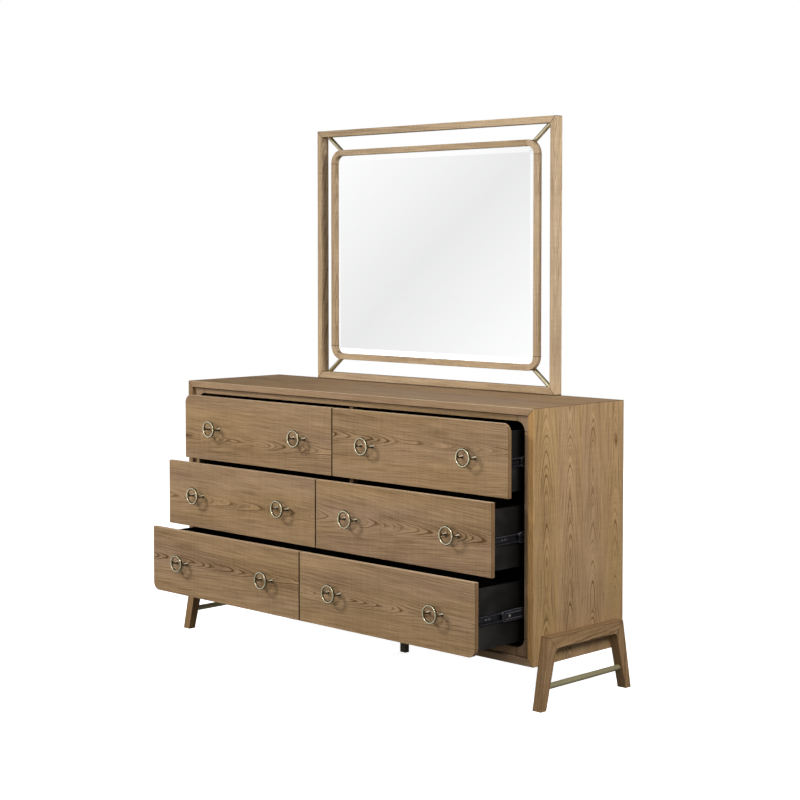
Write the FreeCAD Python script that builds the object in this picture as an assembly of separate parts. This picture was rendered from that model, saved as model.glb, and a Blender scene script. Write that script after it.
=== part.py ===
import FreeCAD, Part
import math
import os

V = FreeCAD.Vector

# A long low dresser with six drawers and a framed mirror standing on its top.
# Millimetres. +X is to the right seen from the front, the front looks towards -Y, +Z is up.
# The origin is on the floor, in the middle of the foot of the centre support leg.

# Case
CASE_WIDTH = 1600.0
CASE_DEPTH = 430.0
CASE_HEIGHT = 762.0
FLOOR_GAP = 127.0
PANEL = 22.0
BACK_THICK = 6.0
EDGE_ROUND = 1.5
PARTITION = 16.0
CENTRE_STILE_DEPTH = 24.0

# Face frame round the drawer opening, set back inside the case
FACE_RECESS = 12.0
FACE_DEPTH = 20.0
FACE_STILE = 22.0
FACE_TOP_RAIL = 19.0
FACE_BOTTOM_RAIL = 26.0
OPENING_RADIUS = 30.0

# Drawer fronts, inset in the face frame and flush with it when shut
ROW_NAMES = ("top", "middle", "bottom")
FRONT_THICK = 15.0
FRONT_REVEAL = 3.0
FRONT_END_REVEAL = 7.0
FRONT_GAP = 4.0

# How far each row stands open as modelled, and how far its middle slide members trail the fronts
TOP_ROW_OPEN = 67.0
MIDDLE_ROW_OPEN = 139.5
BOTTOM_ROW_OPEN = 210.0
TOP_ROW_TRAIL = 54.0
MIDDLE_ROW_TRAIL = 116.0
BOTTOM_ROW_TRAIL = 113.0

# Drawer boxes
BOX_WALL = 12.0
BOX_BOTTOM = 5.0
BOX_GROOVE = 6.0
BOX_BOTTOM_RISE = 10.0
BOX_TOP_DROP = 23.0
BOX_FOOT_LIFT = 18.0
BOX_BACK_ROOM = 24.0

# Telescopic slides, three members nested in each other
SLIDE_THICK = 12.7
SLIDE_HEIGHT = 40.0
SLIDE_RACE = 3.6
SLIDE_WEB = 1.5
SLIDE_PLAY = 0.4
SLIDE_DROP = 5.0
SLIDE_SETBACK = 1.0
SLIDE_REAR_ROOM = 20.0
MIDDLE_SLIDE_SHORTER = 50.0
SPACER_HEIGHT = 60.0

# Ring pulls
PULL_SPACING = 433.5
RING_DIAMETER = 59.5
RING_WIRE = 7.5
PULL_STANDOFF = 24.5
POST_NECK_DIAMETER = 7.2
POST_FOOT_DIAMETER = 10.8

# Trestle leg frames outside the case
LEG_THICK = 32.0
LEG_LAP = 87.0
LEG_TOP_INSET = 38.0
LEG_SPLAY = 40.0
LEG_FOOT_WIDTH = 26.0
LEG_TOP_WIDTH = 32.0
LEG_RAIL_HEIGHT = 36.0
LEG_FILLET = 20.0
STRETCHER_DIAMETER = 18.0
STRETCHER_HEIGHT = 66.0
STRETCHER_SOCKET = 12.0
ROD_PLAY = 0.2
BOLT_DIAMETER = 8.0
BOLT_HEAD_DIAMETER = 16.0
BOLT_HEAD_HEIGHT = 5.0
BOLT_BITE = 18.0
BOLT_SPACING = 200.0
FASTENER_PLAY = 0.15

# Centre support leg, and how far it stands behind the middle of the case
CENTRE_LEG_WIDTH = 26.0
CENTRE_LEG_DEPTH = 18.0
CENTRE_LEG_SETBACK = 65.0

# Mirror: outer frame, inner frame hung in it on four diagonal rods, bevelled glass
MIRROR_WIDTH = 1104.0
MIRROR_HEIGHT = 888.0
MIRROR_DEPTH = 34.0
MIRROR_MEMBER = 22.0
MIRROR_BOTTOM_RAIL = 25.0
INNER_GAP = 49.0
INNER_MEMBER = 20.0
INNER_DEPTH = 18.0
INNER_RADIUS = 48.0
CORNER_ROD_DIAMETER = 15.0
CORNER_ROD_ANGLE = 39.0
CORNER_ROD_INSET = 17.0
CORNER_ROD_LAP = 9.0
CORNER_ROD_SEAT = 1.0
GLASS_SETBACK = 10.0
GLASS_LAP = 8.0
GLASS_PLAY = 0.5
GLASS_RIM = 3.0
GLASS_RISE = 0.9
GLASS_BEVEL = 20.0

# Steel plates across the joint of mirror and case, at the back
PLATE_COUNT = 4
PLATE_PITCH = 300.0
PLATE_WIDTH = 40.0
PLATE_LAP = 20.0
PLATE_THICK = 3.0
SCREW_SPACING = 22.0
SCREW_SHANK = 4.0
SCREW_HEAD = 8.0
SCREW_HEAD_HEIGHT = 2.5
SCREW_BITE = 17.0

# Places that follow from the sizes above
FRONT_Y = -CENTRE_LEG_SETBACK - CASE_DEPTH / 2
BACK_Y = FRONT_Y + CASE_DEPTH
MID_Y = (FRONT_Y + BACK_Y) / 2
SIDE_X = CASE_WIDTH / 2
INSIDE_X = SIDE_X - PANEL
CASE_BOTTOM = FLOOR_GAP
CASE_TOP = FLOOR_GAP + CASE_HEIGHT
INSIDE_BOTTOM = CASE_BOTTOM + PANEL
INSIDE_TOP = CASE_TOP - PANEL
FACE_Y = FRONT_Y + FACE_RECESS
FACE_BACK_Y = FACE_Y + FACE_DEPTH
OPENING_X = INSIDE_X - FACE_STILE
OPENING_BOTTOM = INSIDE_BOTTOM + FACE_BOTTOM_RAIL
OPENING_TOP = INSIDE_TOP - FACE_TOP_RAIL

ROWS = len(ROW_NAMES)
ROW_OPEN = (TOP_ROW_OPEN, MIDDLE_ROW_OPEN, BOTTOM_ROW_OPEN)
ROW_TRAIL = (TOP_ROW_TRAIL, MIDDLE_ROW_TRAIL, BOTTOM_ROW_TRAIL)
FRONTS_HEIGHT = OPENING_TOP - OPENING_BOTTOM - 2 * FRONT_REVEAL
FRONT_HEIGHT = (FRONTS_HEIGHT - (ROWS - 1) * FRONT_GAP) / ROWS
FRONT_INNER_X = FRONT_GAP / 2
FRONT_OUTER_X = OPENING_X - FRONT_END_REVEAL
FRONT_MID_X = (FRONT_INNER_X + FRONT_OUTER_X) / 2
PARTITION_X = PARTITION / 2
BOX_INNER_X = PARTITION_X + SLIDE_THICK
BOX_OUTER_X = OPENING_X - SLIDE_THICK
BOX_LENGTH = CASE_DEPTH - FACE_RECESS - FRONT_THICK - BACK_THICK - BOX_BACK_ROOM
SLIDE_Y = FACE_BACK_Y + SLIDE_SETBACK
SLIDE_LENGTH = BOX_LENGTH - SLIDE_REAR_ROOM
MIDDLE_SLIDE_LENGTH = SLIDE_LENGTH - MIDDLE_SLIDE_SHORTER
MIDDLE_SLIDE_HEIGHT = SLIDE_HEIGHT - 2 * (SLIDE_RACE + SLIDE_PLAY)
DRAWER_SLIDE_HEIGHT = MIDDLE_SLIDE_HEIGHT - 2 * (SLIDE_RACE + SLIDE_PLAY)
MIDDLE_SLIDE_T = SLIDE_WEB + SLIDE_PLAY
DRAWER_SLIDE_T = MIDDLE_SLIDE_T + SLIDE_WEB + SLIDE_PLAY
OPEN_SIDE_T = SLIDE_THICK - SLIDE_WEB - SLIDE_PLAY

LEG_TOP_Z = FLOOR_GAP + LEG_LAP
LEG_RAIL_Z = LEG_TOP_Z - LEG_RAIL_HEIGHT
LEG_TOP_Y = CASE_DEPTH / 2 - LEG_TOP_INSET
LEG_FOOT_Y = LEG_TOP_Y + LEG_SPLAY
LEG_OUTER_X = SIDE_X + LEG_THICK
LEG_MID_X = SIDE_X + LEG_THICK / 2

MIRROR_X = MIRROR_WIDTH / 2
MIRROR_TOP = CASE_TOP + MIRROR_HEIGHT
MIRROR_Y = BACK_Y - MIRROR_DEPTH
MIRROR_IN_X = MIRROR_X - MIRROR_MEMBER
MIRROR_IN_TOP = MIRROR_TOP - MIRROR_MEMBER
MIRROR_IN_BOTTOM = CASE_TOP + MIRROR_BOTTOM_RAIL
INNER_X = MIRROR_IN_X - INNER_GAP
INNER_TOP = MIRROR_IN_TOP - INNER_GAP
INNER_BOTTOM = MIRROR_IN_BOTTOM + INNER_GAP
INNER_BACK_Y = MIRROR_Y + INNER_DEPTH
LEDGE_Y = MIRROR_Y + GLASS_SETBACK
ROD_Y = INNER_BACK_Y + CORNER_ROD_DIAMETER / 2 - CORNER_ROD_SEAT
SIGHT_RADIUS = INNER_RADIUS - INNER_MEMBER

CUT_MARGIN = 2.0
TOUCH = 0.001


def block(x0, x1, y0, y1, z0, z1):
    return Part.makeBox(x1 - x0, y1 - y0, z1 - z0, V(x0, y0, z0))


def prism_along_y(points, y0, y1):
    """A closed outline of (x, z) points pushed from y0 to y1."""
    wire = Part.makePolygon([V(x, y0, z) for x, z in points + points[:1]])
    return Part.Face(wire).extrude(V(0, y1 - y0, 0))


def prism_along_x(points, x0, x1):
    """A closed outline of (y, z) points pushed from x0 to x1."""
    wire = Part.makePolygon([V(x0, y, z) for y, z in points + points[:1]])
    return Part.Face(wire).extrude(V(x1 - x0, 0, 0))


def rounded_outline(x, z0, z1, radius, y):
    """A rectangle from -x to x and z0 to z1 with round corners, in the plane at y."""
    corners = [(x, z0, -45), (x, z1, 45), (-x, z1, 135), (-x, z0, 225)]
    edges = []
    ends = []
    for cx, cz, middle in corners:
        centre = V(cx - math.copysign(radius, cx), y, z0 + radius if cz == z0 else z1 - radius)
        arc = []
        for turn in (middle - 45, middle, middle + 45):
            angle = math.radians(turn)
            arc.append(centre + V(radius * math.cos(angle), 0, radius * math.sin(angle)))
        edges.append(Part.Arc(*arc).toShape())
        ends.append((arc[0], arc[2]))
    sides = []
    for i, arc_edge in enumerate(edges):
        sides.append(arc_edge)
        sides.append(Part.LineSegment(ends[i][1], ends[(i + 1) % 4][0]).toShape())
    return Part.Wire(sides)


def rounded_plate(x, z0, z1, radius, y0, y1):
    return Part.Face(rounded_outline(x, z0, z1, radius, y0)).extrude(V(0, y1 - y0, 0))


def edges_on_plane(shape, y):
    """The edges that lie in the upright plane at y."""
    found = []
    for edge in shape.Edges:
        bounds = edge.BoundBox
        if abs(bounds.YMin - y) < TOUCH and abs(bounds.YMax - y) < TOUCH:
            found.append(edge)
    return found


def edges_along_y(shape, x, z):
    """The edges that run along Y at the given x and z."""
    found = []
    for edge in shape.Edges:
        bounds = edge.BoundBox
        at_x = abs(bounds.XMin - x) + abs(bounds.XMax - x) < TOUCH
        at_z = abs(bounds.ZMin - z) + abs(bounds.ZMax - z) < TOUCH
        if at_x and at_z:
            found.append(edge)
    return found


def edges_along_x(shape, y, z):
    """The edges that run along X at the given y and z."""
    found = []
    for edge in shape.Edges:
        bounds = edge.BoundBox
        at_y = abs(bounds.YMin - y) + abs(bounds.YMax - y) < TOUCH
        at_z = abs(bounds.ZMin - z) + abs(bounds.ZMax - z) < TOUCH
        if at_y and at_z:
            found.append(edge)
    return found


def mirrored(shape):
    """The same piece on the other side of the middle plane."""
    return shape.mirror(V(0, 0, 0), V(1, 0, 0))


def both_sides(shape):
    return [mirrored(shape), shape]


def save(name, pieces):
    """Write one node, with each of its pieces as a solid of its own."""
    solids = [solid for piece in pieces for solid in piece.Solids]
    for solid in solids:
        if not solid.isValid():
            raise ValueError(name + " has a bad solid")
    shape = solids[0] if len(solids) == 1 else Part.makeCompound(solids)
    shape.exportStep("parts/" + name + ".step")
    litres = sum(solid.Volume for solid in solids) / 1e6
    print(f"{name}: {len(solids)} solids, {litres:.3f} litres")


def mitre_wedge(outer, inner):
    """The part of a frame between two mitres: outer and inner are (x, z) at its right-hand mitre."""
    run_x = outer[0] - inner[0]
    run_z = outer[1] - inner[1]
    far = (outer[0] + run_x, outer[1] + run_z)
    near = (inner[0] - run_x, inner[1] - run_z)
    return [(-far[0], far[1]), far, near, (-near[0], near[1])]


def screw(x, y, z):
    """A pan head screw driven towards the front, its head resting on the plane at y."""
    head = Part.makeCylinder(SCREW_HEAD / 2, SCREW_HEAD_HEIGHT, V(x, y, z), V(0, 1, 0))
    shank = Part.makeCylinder(SCREW_SHANK / 2, SCREW_BITE + PLATE_THICK, V(x, y, z), V(0, -1, 0))
    head = head.makeFillet(SCREW_HEAD_HEIGHT / 2, edges_on_plane(head, y + SCREW_HEAD_HEIGHT)[:1])
    return head.fuse(shank).removeSplitter()


def screw_hole(x, y, z):
    radius = SCREW_SHANK / 2 + FASTENER_PLAY
    return Part.makeCylinder(radius, SCREW_BITE + PLATE_THICK, V(x, y, z), V(0, -1, 0))


def plate_places():
    """The middle of each back plate and its four screws, as (x, [(x, z), ...])."""
    places = []
    for i in range(PLATE_COUNT):
        middle = (i - (PLATE_COUNT - 1) / 2) * PLATE_PITCH
        screws = []
        for side in (-1, 1):
            for height in (-PANEL / 2, MIRROR_BOTTOM_RAIL / 2):
                screws.append((middle + side * SCREW_SPACING / 2, CASE_TOP + height))
        places.append((middle, screws))
    return places


def drill_for_plates(shape):
    """Cut the pilot holes of the back plates' screws into a piece that they bite."""
    for _, screws in plate_places():
        for x, z in screws:
            if shape.BoundBox.ZMin < z < shape.BoundBox.ZMax:
                shape = shape.cut(screw_hole(x, BACK_Y + PLATE_THICK, z))
    return shape


def bolt_places():
    z = LEG_TOP_Z - LEG_RAIL_HEIGHT / 2
    return [(MID_Y - BOLT_SPACING / 2, z), (MID_Y + BOLT_SPACING / 2, z)]


def bolt_hole(y, z):
    radius = BOLT_DIAMETER / 2 + FASTENER_PLAY
    return Part.makeCylinder(radius, PANEL + BOLT_BITE, V(INSIDE_X, y, z), V(1, 0, 0))


def eased(piece, y, across):
    """Round the front edges of a mitred member, apart from its mitres: across is the bounds to keep flat."""
    edges = [edge for edge in edges_on_plane(piece, y) if getattr(edge.BoundBox, across) < TOUCH]
    return piece.makeFillet(EDGE_ROUND, edges)


def mitred_members(ring, outer_x, inner_x, top, inner_top, bottom, inner_bottom, y0, y1):
    """Cut a square ring at its corners into upper rail, lower rail and right stile, front edges eased."""
    ends = (y0 - CUT_MARGIN, y1 + CUT_MARGIN)
    upper = prism_along_y(mitre_wedge((outer_x, top), (inner_x, inner_top)), *ends)
    lower = prism_along_y(mitre_wedge((outer_x, bottom), (inner_x, inner_bottom)), *ends)
    right_half = block(0, outer_x, *ends, bottom, top)
    stile = ring.cut(upper).cut(lower).common(right_half)
    return (
        eased(ring.common(upper).Solids[0], y0, "ZLength"),
        eased(ring.common(lower).Solids[0], y0, "ZLength"),
        eased(stile.Solids[0], y0, "XLength"))


def case_panels():
    """Top, bottom and sides: a box sleeve cut apart at its four mitres."""
    sleeve = block(-SIDE_X, SIDE_X, FRONT_Y, BACK_Y, CASE_BOTTOM, CASE_TOP)
    hollow = block(-INSIDE_X, INSIDE_X, FRONT_Y, BACK_Y, INSIDE_BOTTOM, INSIDE_TOP)
    top, bottom, side = mitred_members(
        sleeve.cut(hollow), SIDE_X, INSIDE_X, CASE_TOP, INSIDE_TOP,
        CASE_BOTTOM, INSIDE_BOTTOM, FRONT_Y, BACK_Y)
    for y, z in bolt_places():
        side = side.cut(bolt_hole(y, z))
    save("top_panel", [drill_for_plates(top)])
    save("bottom_panel", [bottom])
    save("left_side_panel", [mirrored(side)])
    save("right_side_panel", [side])


def case_inside():
    back = block(-INSIDE_X, INSIDE_X, BACK_Y - BACK_THICK, BACK_Y, INSIDE_BOTTOM, INSIDE_TOP)
    stile_back = FACE_BACK_Y + CENTRE_STILE_DEPTH
    stile = block(-PARTITION_X, PARTITION_X, FACE_BACK_Y, stile_back, INSIDE_BOTTOM, INSIDE_TOP)
    rear = BACK_Y - BACK_THICK
    partition = block(-PARTITION_X, PARTITION_X, stile_back, rear, INSIDE_BOTTOM, INSIDE_TOP)
    save("back_panel", [back])
    save("centre_stile", [stile])
    save("centre_partition", [partition])


def frame_parts(ring, x, z0, z1, tangent_x, tangent_z0, tangent_z1, y0, y1):
    """Cut a round-cornered ring into rails, stiles and corner blocks where the arcs end."""
    middle = block(-tangent_x, tangent_x, y0, y1, z0 - CUT_MARGIN, z1 + CUT_MARGIN)
    band = block(-x - CUT_MARGIN, x + CUT_MARGIN, y0, y1, tangent_z0, tangent_z1)
    return ring.common(middle), ring.common(band), ring.cut(middle).cut(band)


def face_frame():
    ring = block(-INSIDE_X, INSIDE_X, FACE_Y, FACE_BACK_Y, INSIDE_BOTTOM, INSIDE_TOP)
    ring = ring.cut(rounded_plate(
        OPENING_X, OPENING_BOTTOM, OPENING_TOP, OPENING_RADIUS, FACE_Y, FACE_BACK_Y))
    rails, stiles, corners = frame_parts(
        ring, INSIDE_X, INSIDE_BOTTOM, INSIDE_TOP,
        OPENING_X - OPENING_RADIUS, OPENING_BOTTOM + OPENING_RADIUS, OPENING_TOP - OPENING_RADIUS,
        FACE_Y, FACE_BACK_Y)
    save("face_frame_rails", [rails])
    save("face_frame_stiles", [stiles])
    save("face_frame_corner_blocks", [corners])


def leg_inner_y(z):
    """How far the inside edge of a leg stands from the middle of the case at height z."""
    foot = LEG_FOOT_Y - LEG_FOOT_WIDTH
    top = LEG_TOP_Y - LEG_TOP_WIDTH
    return foot + (top - foot) * z / LEG_RAIL_Z


def eased_outside(piece, inner):
    """Round the outside edges of a leg or its rail, apart from the mitres and the foot."""
    run_y = LEG_TOP_Y - inner[0]
    run_z = LEG_TOP_Z - inner[1]
    edges = []
    for edge in piece.Edges:
        if edge.BoundBox.XMin < LEG_OUTER_X - TOUCH or edge.BoundBox.ZMax < TOUCH:
            continue
        off_mitre = 0
        for vertex in edge.Vertexes:
            out = abs(vertex.Y - MID_Y) - LEG_TOP_Y
            off_mitre += abs(out * run_z - (vertex.Z - LEG_TOP_Z) * run_y)
        if off_mitre > TOUCH:
            edges.append(edge)
    return piece.makeFillet(EDGE_ROUND, edges)


def leg_frames():
    """Two splayed legs and a mitred rail on each side, with a rod between the legs."""
    half = [(LEG_FOOT_Y - LEG_FOOT_WIDTH, 0), (LEG_FOOT_Y, 0), (LEG_TOP_Y, LEG_TOP_Z)]
    inner = (LEG_TOP_Y - LEG_TOP_WIDTH, LEG_RAIL_Z)
    outline = [inner] + half + [(-y, z) for y, z in reversed(half)] + [(-inner[0], inner[1])]
    outline = [(MID_Y + y, z) for y, z in outline]
    frame = prism_along_x(outline, SIDE_X, LEG_OUTER_X)
    corners = edges_along_x(frame, MID_Y + inner[0], inner[1])
    corners += edges_along_x(frame, MID_Y - inner[0], inner[1])
    frame = frame.makeFillet(LEG_FILLET, corners)
    socket_y = leg_inner_y(STRETCHER_HEIGHT) + STRETCHER_SOCKET
    start = V(LEG_MID_X, MID_Y - socket_y, STRETCHER_HEIGHT)
    bore = Part.makeCylinder(STRETCHER_DIAMETER / 2 + ROD_PLAY, 2 * socket_y, start, V(0, 1, 0))
    frame = frame.cut(bore)
    wedge = mitre_wedge((LEG_TOP_Y, LEG_TOP_Z), inner)
    wedge = [(MID_Y + y, z) for y, z in wedge]
    wedge = prism_along_x(wedge, SIDE_X - CUT_MARGIN, LEG_OUTER_X + CUT_MARGIN)
    rail = eased_outside(frame.common(wedge).Solids[0], inner)
    for y, z in bolt_places():
        rail = rail.cut(bolt_hole(y, z))
    legs = [eased_outside(leg, inner) for leg in frame.cut(wedge).Solids]
    legs.sort(key=lambda leg: leg.BoundBox.YMin)
    save("front_legs", both_sides(legs[0]))
    save("back_legs", both_sides(legs[1]))
    save("leg_rails", both_sides(rail))
    rod = Part.makeCylinder(STRETCHER_DIAMETER / 2, 2 * socket_y, start, V(0, 1, 0))
    save("stretcher_rods", both_sides(rod))
    bolts = []
    for y, z in bolt_places():
        seat = V(INSIDE_X, y, z)
        shank = Part.makeCylinder(BOLT_DIAMETER / 2, PANEL + BOLT_BITE, seat, V(1, 0, 0))
        head = Part.makeCylinder(BOLT_HEAD_DIAMETER / 2, BOLT_HEAD_HEIGHT, seat, V(-1, 0, 0))
        bolts += both_sides(shank.fuse(head).removeSplitter())
    save("leg_frame_bolts", bolts)


def centre_support_leg():
    half_x = CENTRE_LEG_WIDTH / 2
    half_y = CENTRE_LEG_DEPTH / 2
    leg = block(-half_x, half_x, -half_y, half_y, 0, CASE_BOTTOM)
    upright = [edge for edge in leg.Edges if edge.BoundBox.ZLength > CASE_BOTTOM / 2]
    save("centre_support_leg", [leg.makeFillet(EDGE_ROUND, upright)])


def mirror_frame():
    """Four mitred members standing on the case top."""
    ring = block(-MIRROR_X, MIRROR_X, MIRROR_Y, BACK_Y, CASE_TOP, MIRROR_TOP)
    hole = block(-MIRROR_IN_X, MIRROR_IN_X, MIRROR_Y, BACK_Y, MIRROR_IN_BOTTOM, MIRROR_IN_TOP)
    upper, lower, stile = mitred_members(
        ring.cut(hole), MIRROR_X, MIRROR_IN_X, MIRROR_TOP, MIRROR_IN_TOP,
        CASE_TOP, MIRROR_IN_BOTTOM, MIRROR_Y, BACK_Y)
    save("mirror_frame_rails", [drill_for_plates(lower), upper])
    save("mirror_frame_stiles", both_sides(stile))


def corner_rod(radius, lap, sign_x, sign_z):
    """A slanting rod from past the outer frame's rail, near its corner, to the back of the inner frame's corner."""
    angle = math.radians(CORNER_ROD_ANGLE)
    inward = V(-sign_x * math.cos(angle), 0, -sign_z * math.sin(angle))
    rail_z = MIRROR_IN_TOP if sign_z > 0 else MIRROR_IN_BOTTOM
    foot = V(sign_x * (MIRROR_IN_X - CORNER_ROD_INSET), ROD_Y, rail_z)
    centre_z = INNER_TOP - INNER_RADIUS if sign_z > 0 else INNER_BOTTOM + INNER_RADIUS
    away = foot - V(sign_x * (INNER_X - INNER_RADIUS), ROD_Y, centre_z)
    to_middle = -away.dot(inward)
    reach = to_middle - math.sqrt(to_middle ** 2 - away.dot(away) + INNER_RADIUS ** 2)
    overrun = radius / math.tan(angle) + CUT_MARGIN
    return Part.makeCylinder(radius, overrun + reach + lap, foot - inward * overrun, inward)


def inner_mirror():
    """The round-cornered frame, its diagonal rods, the bevelled glass and the backing board."""
    ring = rounded_plate(INNER_X, INNER_BOTTOM, INNER_TOP, INNER_RADIUS, MIRROR_Y, INNER_BACK_Y)
    sight_x = INNER_X - INNER_MEMBER
    sight_z0 = INNER_BOTTOM + INNER_MEMBER
    sight_z1 = INNER_TOP - INNER_MEMBER
    ring = ring.cut(rounded_plate(sight_x, sight_z0, sight_z1, SIGHT_RADIUS, MIRROR_Y, INNER_BACK_Y))
    ring = ring.makeFillet(EDGE_ROUND, edges_on_plane(ring, MIRROR_Y))
    ring = ring.cut(rounded_plate(
        sight_x + GLASS_LAP, sight_z0 - GLASS_LAP, sight_z1 + GLASS_LAP,
        SIGHT_RADIUS + GLASS_LAP, LEDGE_Y, INNER_BACK_Y))
    window = block(-MIRROR_IN_X, MIRROR_IN_X, MIRROR_Y, BACK_Y, MIRROR_IN_BOTTOM, MIRROR_IN_TOP)
    rods = []
    for sign_x in (-1, 1):
        for sign_z in (-1, 1):
            rod = corner_rod(CORNER_ROD_DIAMETER / 2, CORNER_ROD_LAP, sign_x, sign_z)
            rods.append(rod.common(window))
            groove = CORNER_ROD_DIAMETER / 2 + ROD_PLAY
            ring = ring.cut(corner_rod(groove, CORNER_ROD_LAP + ROD_PLAY, sign_x, sign_z))
    rails, stiles, corners = frame_parts(
        ring, INNER_X, INNER_BOTTOM, INNER_TOP,
        INNER_X - INNER_RADIUS, INNER_BOTTOM + INNER_RADIUS, INNER_TOP - INNER_RADIUS,
        MIRROR_Y, INNER_BACK_Y)
    save("inner_frame_rails", [rails])
    save("inner_frame_stiles", [stiles])
    save("inner_frame_corner_blocks", [corners])
    save("mirror_corner_rods", rods)
    lap = GLASS_LAP - GLASS_PLAY
    rim_y = LEDGE_Y + GLASS_RIM
    plate = (sight_x + lap, sight_z0 - lap, sight_z1 + lap, SIGHT_RADIUS + lap)
    rim = rounded_plate(*plate, LEDGE_Y, rim_y)
    inset = (sight_x - GLASS_BEVEL, sight_z0 + GLASS_BEVEL, sight_z1 - GLASS_BEVEL)
    bevel = Part.makeLoft([
        rounded_outline(sight_x, sight_z0, sight_z1, SIGHT_RADIUS, LEDGE_Y),
        rounded_outline(*inset, SIGHT_RADIUS - GLASS_BEVEL, LEDGE_Y - GLASS_RISE)], True, True)
    save("mirror_glass", [rim.fuse(bevel).removeSplitter()])
    save("mirror_backing_board", [rounded_plate(*plate, rim_y, INNER_BACK_Y)])


def back_plates():
    plates = []
    screws = []
    outside = BACK_Y + PLATE_THICK
    for middle, places in plate_places():
        half = PLATE_WIDTH / 2
        plate = block(
            middle - half, middle + half, BACK_Y, outside, CASE_TOP - PLATE_LAP, CASE_TOP + PLATE_LAP)
        for x, z in places:
            plate = plate.cut(screw_hole(x, outside, z))
            screws.append(screw(x, outside, z))
        plates.append(plate)
    save("mirror_support_plates", plates)
    save("support_plate_screws", screws)


def front_bottom(row):
    """The lower edge of the fronts in a row, counted from the top."""
    return OPENING_TOP - FRONT_REVEAL - (row + 1) * FRONT_HEIGHT - row * FRONT_GAP


def slide_z(row):
    return front_bottom(row) + FRONT_HEIGHT / 2 - SLIDE_DROP


def channel(height, web, lips, z, y, length):
    """A slide member for the right-hand wall: web and lips are (near, far) depths off that wall."""
    half = height / 2
    x = OPENING_X
    member = block(x - web[1], x - web[0], y, y + length, z - half, z + half)
    for low, high in ((-half, -half + SLIDE_RACE), (half - SLIDE_RACE, half)):
        lip = block(x - lips[1], x - lips[0], y, y + length, z + low, z + high)
        member = member.fuse(lip)
    return member.removeSplitter()


def slide_pair(member):
    """The member on the outer wall and its twin on the centre partition."""
    twin = mirrored(member)
    twin.translate(V(OPENING_X + PARTITION_X, 0, 0))
    return [member, twin]


def cabinet_slides():
    members = []
    spacers = []
    for row in range(ROWS):
        z = slide_z(row)
        member = channel(
            SLIDE_HEIGHT, (0, SLIDE_WEB), (0, OPEN_SIDE_T), z, SLIDE_Y, SLIDE_LENGTH)
        for piece in slide_pair(member):
            members += both_sides(piece)
        half = SPACER_HEIGHT / 2
        rear = SLIDE_Y + SLIDE_LENGTH
        spacers += both_sides(block(OPENING_X, INSIDE_X, FACE_BACK_Y, rear, z - half, z + half))
    save("cabinet_slide_members", members)
    save("slide_spacers", spacers)


def drawer_front(row, face):
    low = front_bottom(row)
    high = low + FRONT_HEIGHT
    front = block(FRONT_INNER_X, FRONT_OUTER_X, face, face + FRONT_THICK, low, high)
    radius = OPENING_RADIUS - FRONT_REVEAL
    if row == 0:
        front = front.makeFillet(radius, edges_along_y(front, FRONT_OUTER_X, high))
    if row == ROWS - 1:
        front = front.makeFillet(radius, edges_along_y(front, FRONT_OUTER_X, low))
    return front.makeFillet(EDGE_ROUND, edges_on_plane(front, face))


def drawer_box(row, face):
    """Two sides, an inner front, a back and a bottom let into grooves."""
    y0 = face + FRONT_THICK
    y1 = y0 + BOX_LENGTH
    z0 = front_bottom(row) + BOX_FOOT_LIFT
    z1 = front_bottom(row) + FRONT_HEIGHT - BOX_TOP_DROP
    inner = BOX_INNER_X + BOX_WALL
    outer = BOX_OUTER_X - BOX_WALL
    floor = z0 + BOX_BOTTOM_RISE
    bottom = block(
        inner - BOX_GROOVE, outer + BOX_GROOVE, y0 + BOX_WALL - BOX_GROOVE,
        y1 - BOX_WALL + BOX_GROOVE, floor, floor + BOX_BOTTOM)
    walls = [
        block(BOX_INNER_X, inner, y0, y1, z0, z1),
        block(outer, BOX_OUTER_X, y0, y1, z0, z1),
        block(inner, outer, y0, y0 + BOX_WALL, z0, z1),
        block(inner, outer, y1 - BOX_WALL, y1, z0, z1)]
    return [wall.cut(bottom) for wall in walls] + [bottom]


def ring_pull(x, face, z):
    """A ring held off the face by a tapered post at each side, cast in one piece."""
    reach = (RING_DIAMETER - RING_WIRE) / 2
    ring_y = face - PULL_STANDOFF
    pull = Part.makeTorus(reach, RING_WIRE / 2, V(x, ring_y, z), V(0, 1, 0))
    for side in (-1, 1):
        foot = V(x + side * reach, face, z)
        post = Part.makeCone(
            POST_FOOT_DIAMETER / 2, POST_NECK_DIAMETER / 2, PULL_STANDOFF, foot, V(0, -1, 0))
        pull = pull.fuse(post)
    return pull.removeSplitter()


def drawers():
    """Six drawers, each with a front, a box, two pulls and its slide members."""
    for row, row_name in enumerate(ROW_NAMES):
        face = FACE_Y - ROW_OPEN[row]
        y = face + FRONT_THICK + SLIDE_SETBACK
        z = slide_z(row)
        pull_z = front_bottom(row) + FRONT_HEIGHT / 2
        drawer_member = channel(
            DRAWER_SLIDE_HEIGHT, (SLIDE_THICK - SLIDE_WEB, SLIDE_THICK),
            (DRAWER_SLIDE_T, SLIDE_THICK), z, y, SLIDE_LENGTH)
        middle_member = channel(
            MIDDLE_SLIDE_HEIGHT, (MIDDLE_SLIDE_T, MIDDLE_SLIDE_T + SLIDE_WEB),
            (MIDDLE_SLIDE_T, OPEN_SIDE_T), z, face + ROW_TRAIL[row], MIDDLE_SLIDE_LENGTH)
        pieces = {
            "drawer_front": [drawer_front(row, face)],
            "drawer_box": drawer_box(row, face),
            "drawer_pulls": [
                ring_pull(FRONT_MID_X + side * PULL_SPACING / 2, face, pull_z) for side in (-1, 1)],
            "drawer_slides": slide_pair(drawer_member),
            "intermediate_slides": slide_pair(middle_member)}
        for name, solids in pieces.items():
            save(f"{row_name}_right_{name}", solids)
            save(f"{row_name}_left_{name}", [mirrored(solid) for solid in solids])


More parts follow.
